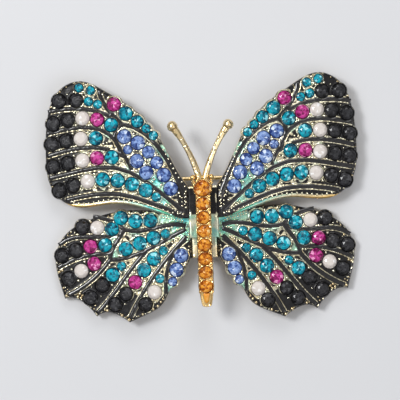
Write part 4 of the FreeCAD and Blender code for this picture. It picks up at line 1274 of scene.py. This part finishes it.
def body_plan():
    """The body's scalloped outline, its head stone, its other stones, its tail's start and its front."""
    found = stones_in("amber_stones_body") + stones_in("amber_stone_head")
    head = max(found, key=lambda s: s[1])
    rest = sorted((s for s in found if s is not head), key=lambda s: -s[1])
    low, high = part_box("body_casting")
    tail_tip, front = low.y * MM, high.y * MM
    rail, wall = 1.40, 0.27  # half the body's width between stones, and the metal round a stone
    tail_start = rest[-1][1] - rest[-1][2] * 0.9
    outline = []
    for y in np.arange(front - 2.55, tail_start, -0.1):
        wide = rail
        for _, stone_y, r in rest + [head]:
            reach = (r + wall) ** 2 - (y - stone_y) ** 2
            if reach > 0:
                wide = max(wide, math.sqrt(reach))
        outline.append((wide, y))
    for k in range(1, 14):
        t = k / 14
        y = tail_start + (tail_tip - tail_start) * math.sin(t * math.pi / 2)
        outline.append((1.24 - 0.60 * t ** 1.3 - 0.56 * max(0, t - 0.75) / 0.25, y))
    outline.append((0.06, tail_tip))
    half = [(wide, front - back) for wide, back in FACE_LINE] + outline
    ring = half + [(-wide, y) for wide, y in reversed(half)]
    return np.array(ring)[::-1], head, rest, tail_start, front


def body():
    """The body's casting with its peened posts, its tail's enamel, its beads and its stones."""
    finish = materials()
    low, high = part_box("body_casting")
    top, post_end = high.z * MM, low.z * MM
    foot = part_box("forewing_casting")[1].z * MM
    thick = top - foot
    outline, head, rest, tail_start, front = body_plan()
    row = [head] + rest
    tail = np.array([(0.62, tail_start - 0.28), (0.40, tail_start - 1.75), (0.0, tail_start - 2.1),
                     (-0.40, tail_start - 1.75), (-0.62, tail_start - 0.28), (0.0, tail_start - 0.18)])
    loops, free = relief_points(outline, [tail], row, 0.11)
    points, tris = triangulate(loops, free)
    d_edge = nearest(points, segments([loops[0]]))[0]
    tail_line = segments([loops[1]])
    d_tail = nearest(points, tail_line)[0]
    in_tail = inside(points, tail_line) & (d_tail > ON_LINE)
    gap = stone_gap(points, row)
    out, y = np.abs(points[:, 0]), points[:, 1]
    # Collars and a rail along the edge, which is rounded off.
    height = -0.16 + 0.10 * bump(gap, 0.10, 0.10) + 0.15 * bump(d_edge, 0.17, 0.17)
    height -= 0.20 * (1 - np.clip(d_edge / 0.16, 0, 1)) ** 2
    # The tail falls away, the forehead has a groove, and the cheeks lie low.
    fall = 0.55 * np.clip((tail_start - y) / 2.6, 0, 1) ** 2
    height -= fall
    height -= 0.25 * bump(out, 0.0, 0.22) * smooth(y, front - 1.1, front - 0.5)
    height -= 0.45 * smooth(out, 1.1, 1.7) * (y > front - 1.7)
    height = np.where(in_tail, height - 0.2, height)
    solid, faces, _ = closed_relief(points, tris, seat_height(gap, height), thick)
    solid[:, 2] += foot
    parts = [(solid, faces, 1.0, 0.0)]
    washer_low, washer_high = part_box("rivet_washers")
    for centre_y in (washer_low.y * MM + WASHER_RADIUS, washer_high.y * MM - WASHER_RADIUS):
        parts.append((*lathe([(r, post_end + z) for r, z in POST], centre_y, 28), 1.0, 0.0))
    all_points, all_faces, _, _ = join(parts)
    obj = new_object("body_metal", all_points, all_faces, [finish["bright"]], True, 50)
    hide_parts("body_casting")
    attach(obj, "brooch")

    middle = np.array([points[list(t)].mean(0) for t in tris])
    chosen = [t for t, yes in zip(tris, inside(middle, tail_line)) if yes]
    dome = -0.14 - fall + 0.26 * (1 - (1 - np.clip(d_tail / 0.5, 0, 1)) ** 2)
    solid, faces, _ = closed_relief(points, chosen, dome, thick, thick - 0.9)
    solid[:, 2] += foot
    drop = new_object("tail_drop", solid, faces, [finish["amber_enamel"]], True, 55)
    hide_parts("tail_enamel")
    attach(drop, "brooch")

    # Beads where two scallops meet.
    bead_size, bead_out, bead_sunk = 0.00036, 1.02, 0.08
    places = [(side * bead_out, (a[1] - a[2] + b[1] + b[2]) / 2, top - bead_sunk)
              for a, b in zip(row, row[1:]) for _, side in SIDES]
    beads("body_beads", places, finish["bright"], bead_size)
    stones("body_stones", "amber_stones_body", "amber", rest, top - GIRDLE_SUNK)
    stones("head_stone", "amber_stone_head", "amber", [head], top - GIRDLE_SUNK)


def lathe(profile, centre_y, steps):
    """A closed turned shape about an upright line; the profile starts and ends on the line."""
    points, faces = [(0.0, centre_y, profile[0][1])], []
    rings = []
    angles = [2 * math.pi * k / steps for k in range(steps)]
    for r, z in profile[1:-1]:
        rings.append(len(points))
        points += [(r * math.cos(a), centre_y + r * math.sin(a), z) for a in angles]
    points.append((0.0, centre_y, profile[-1][1]))
    end = len(points) - 1
    for k in range(steps):
        n = (k + 1) % steps
        faces.append([0, rings[0] + n, rings[0] + k])
        for a, b in zip(rings, rings[1:]):
            faces.append([a + k, a + n, b + n, b + k])
        faces.append([rings[-1] + k, rings[-1] + n, end])
    return np.array(points), faces


def direction(degrees, side):
    """A level direction, turned outwards from straight ahead."""
    lean = math.radians(degrees)
    return np.array([side * math.sin(lean), math.cos(lean), 0])


def antenna_wire(ball, side, rng):
    """The wire as points, faces and tones: a bent line with grooves, pits and a cup at its end."""
    props = bpy.context.scene.brooch_antennae
    thin, cup = props.wire * MM / 2, props.flare * MM / 2
    # A curve from the head to just inside the ball, with a handle at each end.
    lean_low, lean_high, handle_low, handle_high = 14, 35, 3.4, 3.0
    start = np.array([side * 0.52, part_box("body_casting")[1].y * MM - 0.22, ball[2] - 0.02])
    p1 = start + direction(lean_low, side) * handle_low
    end = ball - direction(lean_high, side) * (props.ball * MM / 2) * 0.74
    p2 = end - direction(lean_high, side) * handle_high
    steps, sectors = 96, 28
    points, faces, tones = [], [], []
    pits = [(rng.uniform(0.12, 0.92), rng.uniform(0.9, 2.3)) for _ in range(props.pits)]
    for k in range(steps + 1):
        t = k / steps
        c = (1 - t) ** 3 * start + 3 * (1 - t) ** 2 * t * p1 + 3 * (1 - t) * t * t * p2 + t ** 3 * end
        d = 3 * (1 - t) ** 2 * (p1 - start) + 6 * (1 - t) * t * (p2 - p1) + 3 * t * t * (end - p2)
        d /= np.linalg.norm(d)
        across = np.array([d[1], -d[0], 0]) * side
        base = thin * (1.0 + 0.12 * (1 - t) ** 4)
        base *= 1 - 0.10 * math.exp(-((t - 0.6) / 0.25) ** 2)
        base += (cup - base) * smooth(t, 0.74, 1.0)
        for s in range(sectors):
            a = 2 * math.pi * s / sectors
            lane = math.exp(-((a - math.pi * 0.40) / 0.26) ** 2)
            lane += 0.7 * math.exp(-((a - math.pi * 0.66) / 0.2) ** 2)
            lane *= max(0.0, min(1, (t - 0.04) * 8, (0.90 - t) * 8))
            lane = max(0.0, lane * (0.55 + 0.9 * noise.noise(Vector((t * 9, a * 0.6, side * 5.0)))))
            pit = max(math.exp(-((t - u) / 0.011) ** 2 - ((a - b) / 0.30) ** 2) for u, b in pits)
            r = base - (lane * props.groove * MM + 0.14 * pit)
            r += 0.02 * noise.noise(Vector((t * 26, a * 1.4, side * 3.0)))
            tones.append(1.0 - 0.85 * pit - 0.62 * lane)
            points.append(c + r * (math.cos(a) * across + math.sin(a) * np.array([0, 0, 1])))
    for k in range(steps):
        low, high = k * sectors, (k + 1) * sectors
        for s in range(sectors):
            n = (s + 1) % sectors
            faces.append([low + s, low + n, high + n, high + s])
    faces.append(list(range(sectors))[::-1])
    faces.append([steps * sectors + s for s in range(sectors)])
    return np.array(points), faces, tones


def lobed_ball(centre, radius):
    """A ball with three shallow lobes, as points and faces."""
    rows, cols = 14, 24
    points, faces = [], []
    for i in range(rows + 1):
        phi = math.pi * i / rows
        for j in range(cols if 0 < i < rows else 1):
            th = 2 * math.pi * j / cols
            n = np.array([math.sin(phi) * math.cos(th), math.sin(phi) * math.sin(th), math.cos(phi)])
            lobes = 1 - 0.06 * (1 - abs(math.cos(1.5 * th + 0.4))) ** 2 * math.sin(phi) ** 0.5
            points.append(centre + n * radius * lobes)
    first = [0] + [1 + (i - 1) * cols for i in range(1, rows + 1)]
    for j in range(cols):
        n = (j + 1) % cols
        faces.append([first[0], first[1] + j, first[1] + n])
        for i in range(1, rows - 1):
            faces.append([first[i] + j, first[i + 1] + j, first[i + 1] + n, first[i] + n])
        faces.append([first[rows - 1] + j, first[rows], first[rows - 1] + n])
    return np.array(points), faces


def antennae(material):
    """Grooved wires that flare into cups under lobed balls."""
    radius = bpy.context.scene.brooch_antennae.ball * MM / 2
    inset = 1.0  # from the antenna's box to the middle of its ball
    for word, side in SIDES:
        node = "antenna_" + word
        low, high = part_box(node)
        outer = high.x if side > 0 else low.x
        ball = np.array([outer * MM - side * inset, high.y * MM - inset, high.z * MM - inset])
        wire, wire_faces, tones = antenna_wire(ball, side, random.Random(node))
        points, faces, tone, tint = join([(wire, wire_faces, tones, -0.45),
                                          (*lobed_ball(ball, radius), 1.0, -0.45)])
        obj = new_object("antenna_wire_" + word, points, faces, [material], True, 55, tone=tone, tint=tint)
        outward(obj)
        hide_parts(node)
        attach(obj, "brooch")


# ---------------------------------------------------------------- stage

ROOM_GREYS = ((0.18, 0.06), (0.42, 0.18), (0.62, 0.70), (0.93, 1.0), (0.975, 0.55))  # by height
LAMPS = (  # name, place, size and power
    ("key", (-0.30, 0.16, 0.52), 0.17, 2.3),
    ("fill", (0.36, -0.22, 0.46), 0.34, 0.5),
    ("back", (0.06, 0.42, 0.36), 0.26, 0.7),
)


def lay_floor(tint):
    """A pale floor, slightly cloudy."""
    mesh = bpy.data.meshes.new("floor")
    mesh.from_pydata([(-1, -1, 0), (1, -1, 0), (1, 1, 0), (-1, 1, 0)], [], [(0, 1, 2, 3)])
    floor = bpy.data.objects.new("floor", mesh)
    bpy.context.scene.collection.objects.link(floor)
    material, tree, bsdf = shader("Pale floor")
    cloud = math_node(tree, "MULTIPLY", noise_of(tree, 30.0, 4.0), 0.5)
    darker = tuple(c * 0.95 for c in tint)
    tree.links.new(mix_node(tree, cloud, tint, darker), bsdf.inputs["Base Color"])
    finish_with(bsdf, roughness=0.6)
    mesh.materials.append(material)


def light_room():
    """A soft room, bright from the sides and darker overhead, and three lamps."""
    scene = bpy.context.scene
    world = bpy.data.worlds.new("Soft studio")
    scene.world = world
    world.use_nodes = True
    sky = world.node_tree
    where = sky.nodes.new("ShaderNodeTexCoord")
    parts = sky.nodes.new("ShaderNodeSeparateXYZ")
    ramp = sky.nodes.new("ShaderNodeValToRGB")
    sky.links.new(where.outputs["Generated"], parts.inputs[0])
    sky.links.new(parts.outputs[2], ramp.inputs["Fac"])
    ramp.color_ramp.elements[0].color = (0.30, 0.31, 0.32, 1)
    ramp.color_ramp.elements[1].color = (0.34, 0.345, 0.35, 1)
    for at, grey in ROOM_GREYS:
        ramp.color_ramp.elements.new(at).color = (grey, grey, grey * 1.02, 1)
    background = sky.nodes["Background"]
    sky.links.new(ramp.outputs["Color"], background.inputs["Color"])
    background.inputs["Strength"].default_value = 0.80
    for name, place, size, power in LAMPS:
        lamp = bpy.data.lights.new(name, "AREA")
        lamp.size, lamp.energy = size, power
        obj = bpy.data.objects.new(name, lamp)
        obj.location = place
        obj.rotation_euler = (-Vector(place)).to_track_quat("-Z", "Y").to_euler()
        scene.collection.objects.link(obj)


def place_camera(props):
    """A camera that looks straight down, with the wanted width in view at the brooch's face."""
    scene = bpy.context.scene
    lens = bpy.data.cameras.new("camera")
    camera = bpy.data.objects.new("camera", lens)
    sensor, face_height = 36, 0.005  # millimetres, and metres above the floor
    lens.sensor_width = sensor
    lens.lens = sensor * (props.distance - face_height) / props.field
    lens.clip_start, lens.clip_end = 0.01, 10
    camera.location = (-0.000548, -0.000328, props.distance)
    camera.rotation_euler = (0, 0, props.roll)
    scene.collection.objects.link(camera)
    scene.camera = camera
    scene.view_settings.view_transform = "Standard"


# ---------------------------------------------------------------- operators

class BROOCH_OT_wing_castings(bpy.types.Operator):
    """Cast both pairs of wings with their rims, troughs and bridges"""
    bl_idname = "brooch.wing_castings"
    bl_label = "Wing castings"

    def execute(self, context):
        for wing in WINGS:
            wing_casting(wing, materials()["antique"])
        return {"FINISHED"}


class BROOCH_OT_enamel(bpy.types.Operator):
    """Fill the veins with black enamel"""
    bl_idname = "brooch.enamel"
    bl_label = "Enamel"

    def execute(self, context):
        for wing in WINGS:
            enamel(wing, materials()["enamel"])
        return {"FINISHED"}


class BROOCH_OT_stones(bpy.types.Operator):
    """Set the wings' cut stones in their seats"""
    bl_idname = "brooch.stones"
    bl_label = "Wing stones"

    def execute(self, context):
        for wing in WINGS:
            level = wing_place(wing)[3] - GIRDLE_SUNK
            groups = wing_plan(wing)[2]
            for word, side in SIDES:
                for name in COLOURS:
                    stones("%s_cut_%s_%s" % (name, wing, word), "%s_stones_%s_%s" % (name, wing, word),
                           name, groups[name], level, wing, side)
        return {"FINISHED"}


def upper_edge(x, y, nx, ny):
    """The forewing's long front edge, near the body. nx and ny point inwards."""
    return nx > 0.35 and -1.6 < y < 9.4 and x < 8


def lower_edge(x, y, nx, ny):
    """The forewing's lower edge, above its bevel."""
    return ny > 0.6 and 1.0 < x < 21.5 and y < 4


class BROOCH_OT_beads(bpy.types.Operator):
    """Raise the setting beads and the beaded edges"""
    bl_idname = "brooch.beads"
    bl_label = "Beads"

    def execute(self, context):
        props = context.scene.brooch_beads
        pale = materials()["pale"]
        for wing in reversed(WINGS):
            spots = prong_places(wing)
            sides = on_both_sides(spots, wing, 0.06)
            beads(wing + "_setting_beads", np.vstack(sides), pale, props.prong,
                  share=[s[2] for s in spots] * 2)
        for name, keep, inset, lift, grow in (("costal", upper_edge, 0.34, -0.02, 1.0),
                                              ("skirt", lower_edge, 0.78, -0.06, 1.1)):
            runs = edge_path("forewing", keep, inset)
            paths = [p for run in runs for p in on_both_sides(run, "forewing", lift)]
            beads("forewing_%s_beads" % name, None, pale, props.milgrain * grow, props.spacing, paths)
        margin = edge_path("hindwing", lambda x, y, nx, ny: x > 5 and not (y > -3.4 and x < 12), 0.42)
        margin += edge_path("hindwing", lambda x, y, nx, ny: x > 14 and y < -6, 1.05)
        scattered_beads("hindwing_margin_beads", "hindwing", margin, props.milgrain * 1.15)
        margin = edge_path("forewing", lambda x, y, nx, ny: x > 14 and y >= 3, 0.30)
        scattered_beads("forewing_margin_beads", "forewing", margin, props.milgrain * 0.8)
        paths = [p for wing, runs in TRAILS.items() for run in runs
                 for p in on_both_sides(np.array(run), wing, 0.0)]
        beads("root_trail_beads", None, pale, props.milgrain * 0.8, props.spacing * 0.55, paths)
        return {"FINISHED"}


class BROOCH_OT_body(bpy.types.Operator):
    """Build the body with its head, stones, tail and rivets"""
    bl_idname = "brooch.body"
    bl_label = "Body"

    def execute(self, context):
        body()
        return {"FINISHED"}


class BROOCH_OT_antennae(bpy.types.Operator):
    """Build the antennae and the eye beads"""
    bl_idname = "brooch.antennae"
    bl_label = "Antennae and eyes"

    def execute(self, context):
        antennae(materials()["antique"])
        eye = copy_of("eye_beads", "eye_pair", materials()["bright"])
        return {"FINISHED"}


class BROOCH_OT_finding(bpy.types.Operator):
    """Fit the hinge, pin, catch and washers"""
    bl_idname = "brooch.finding"
    bl_label = "Pin finding"

    def execute(self, context):
        for node, name, key, soft, slot in (
                ("hinge_base", "hinge_block", "bright", 0.06, "bright_gold"),
                ("hinge_pivot", "hinge_rivet", "bright", 0.05, "bright_gold"),
                ("pin_stem", "pin_wire", "pin", 0.0, "pin_steel"),
                ("catch_base", "catch_block", "bright", 0.05, "bright_gold"),
                ("catch_sleeve", "catch_turner", "bright", 0.05, "bright_gold"),
                ("rivet_washers", "washer_pair", "bright", 0.06, "bright_gold")):
            copy_of(node, name, materials()[key], soft)
        return {"FINISHED"}


class BROOCH_OT_stage(bpy.types.Operator):
    """Lay the floor, hang the lights and place the camera"""
    bl_idname = "brooch.stage"
    bl_label = "Stage"

    def execute(self, context):
        props = context.scene.brooch_stage
        lay_floor(tuple(props.floor))
        light_room()
        place_camera(props)
        return {"FINISHED"}


class BROOCH_PT_panel(bpy.types.Panel):
    """Steps of the brooch"""
    bl_label = "Butterfly Brooch"
    bl_idname = "BROOCH_PT_panel"
    bl_space_type = "VIEW_3D"
    bl_region_type = "UI"
    bl_category = "Brooch"

    def draw(self, context):
        for step in STEPS:
            self.layout.operator(step.bl_idname)
        for key in GROUPS:
            box = self.layout.box()
            group = getattr(context.scene, key)
            for prop in group.bl_rna.properties.keys():
                if prop not in ("rna_type", "name"):
                    box.prop(group, prop)


GROUPS = {
    "brooch_stones": BroochStones, "brooch_castings": BroochCastings, "brooch_beads": BroochBeads,
    "brooch_antennae": BroochAntennae, "brooch_stage": BroochStage,
}
STEPS = (BROOCH_OT_stage, BROOCH_OT_wing_castings, BROOCH_OT_enamel, BROOCH_OT_stones, BROOCH_OT_beads,
         BROOCH_OT_body, BROOCH_OT_antennae, BROOCH_OT_finding)


def register():
    for cls in (*GROUPS.values(), *STEPS, BROOCH_PT_panel):
        bpy.utils.register_class(cls)
    for key, cls in GROUPS.items():
        setattr(bpy.types.Scene, key, PointerProperty(type=cls))


def unregister():
    for key in GROUPS:
        delattr(bpy.types.Scene, key)
    for cls in reversed((*GROUPS.values(), *STEPS, BROOCH_PT_panel)):
        bpy.utils.unregister_class(cls)


def main():
    register()
    for step in STEPS:
        if getattr(bpy.ops.brooch, step.bl_idname.split(".")[1])() != {"FINISHED"}:
            raise RuntimeError(step.bl_label + " didn't finish")


if __name__ == "__main__":
    main()
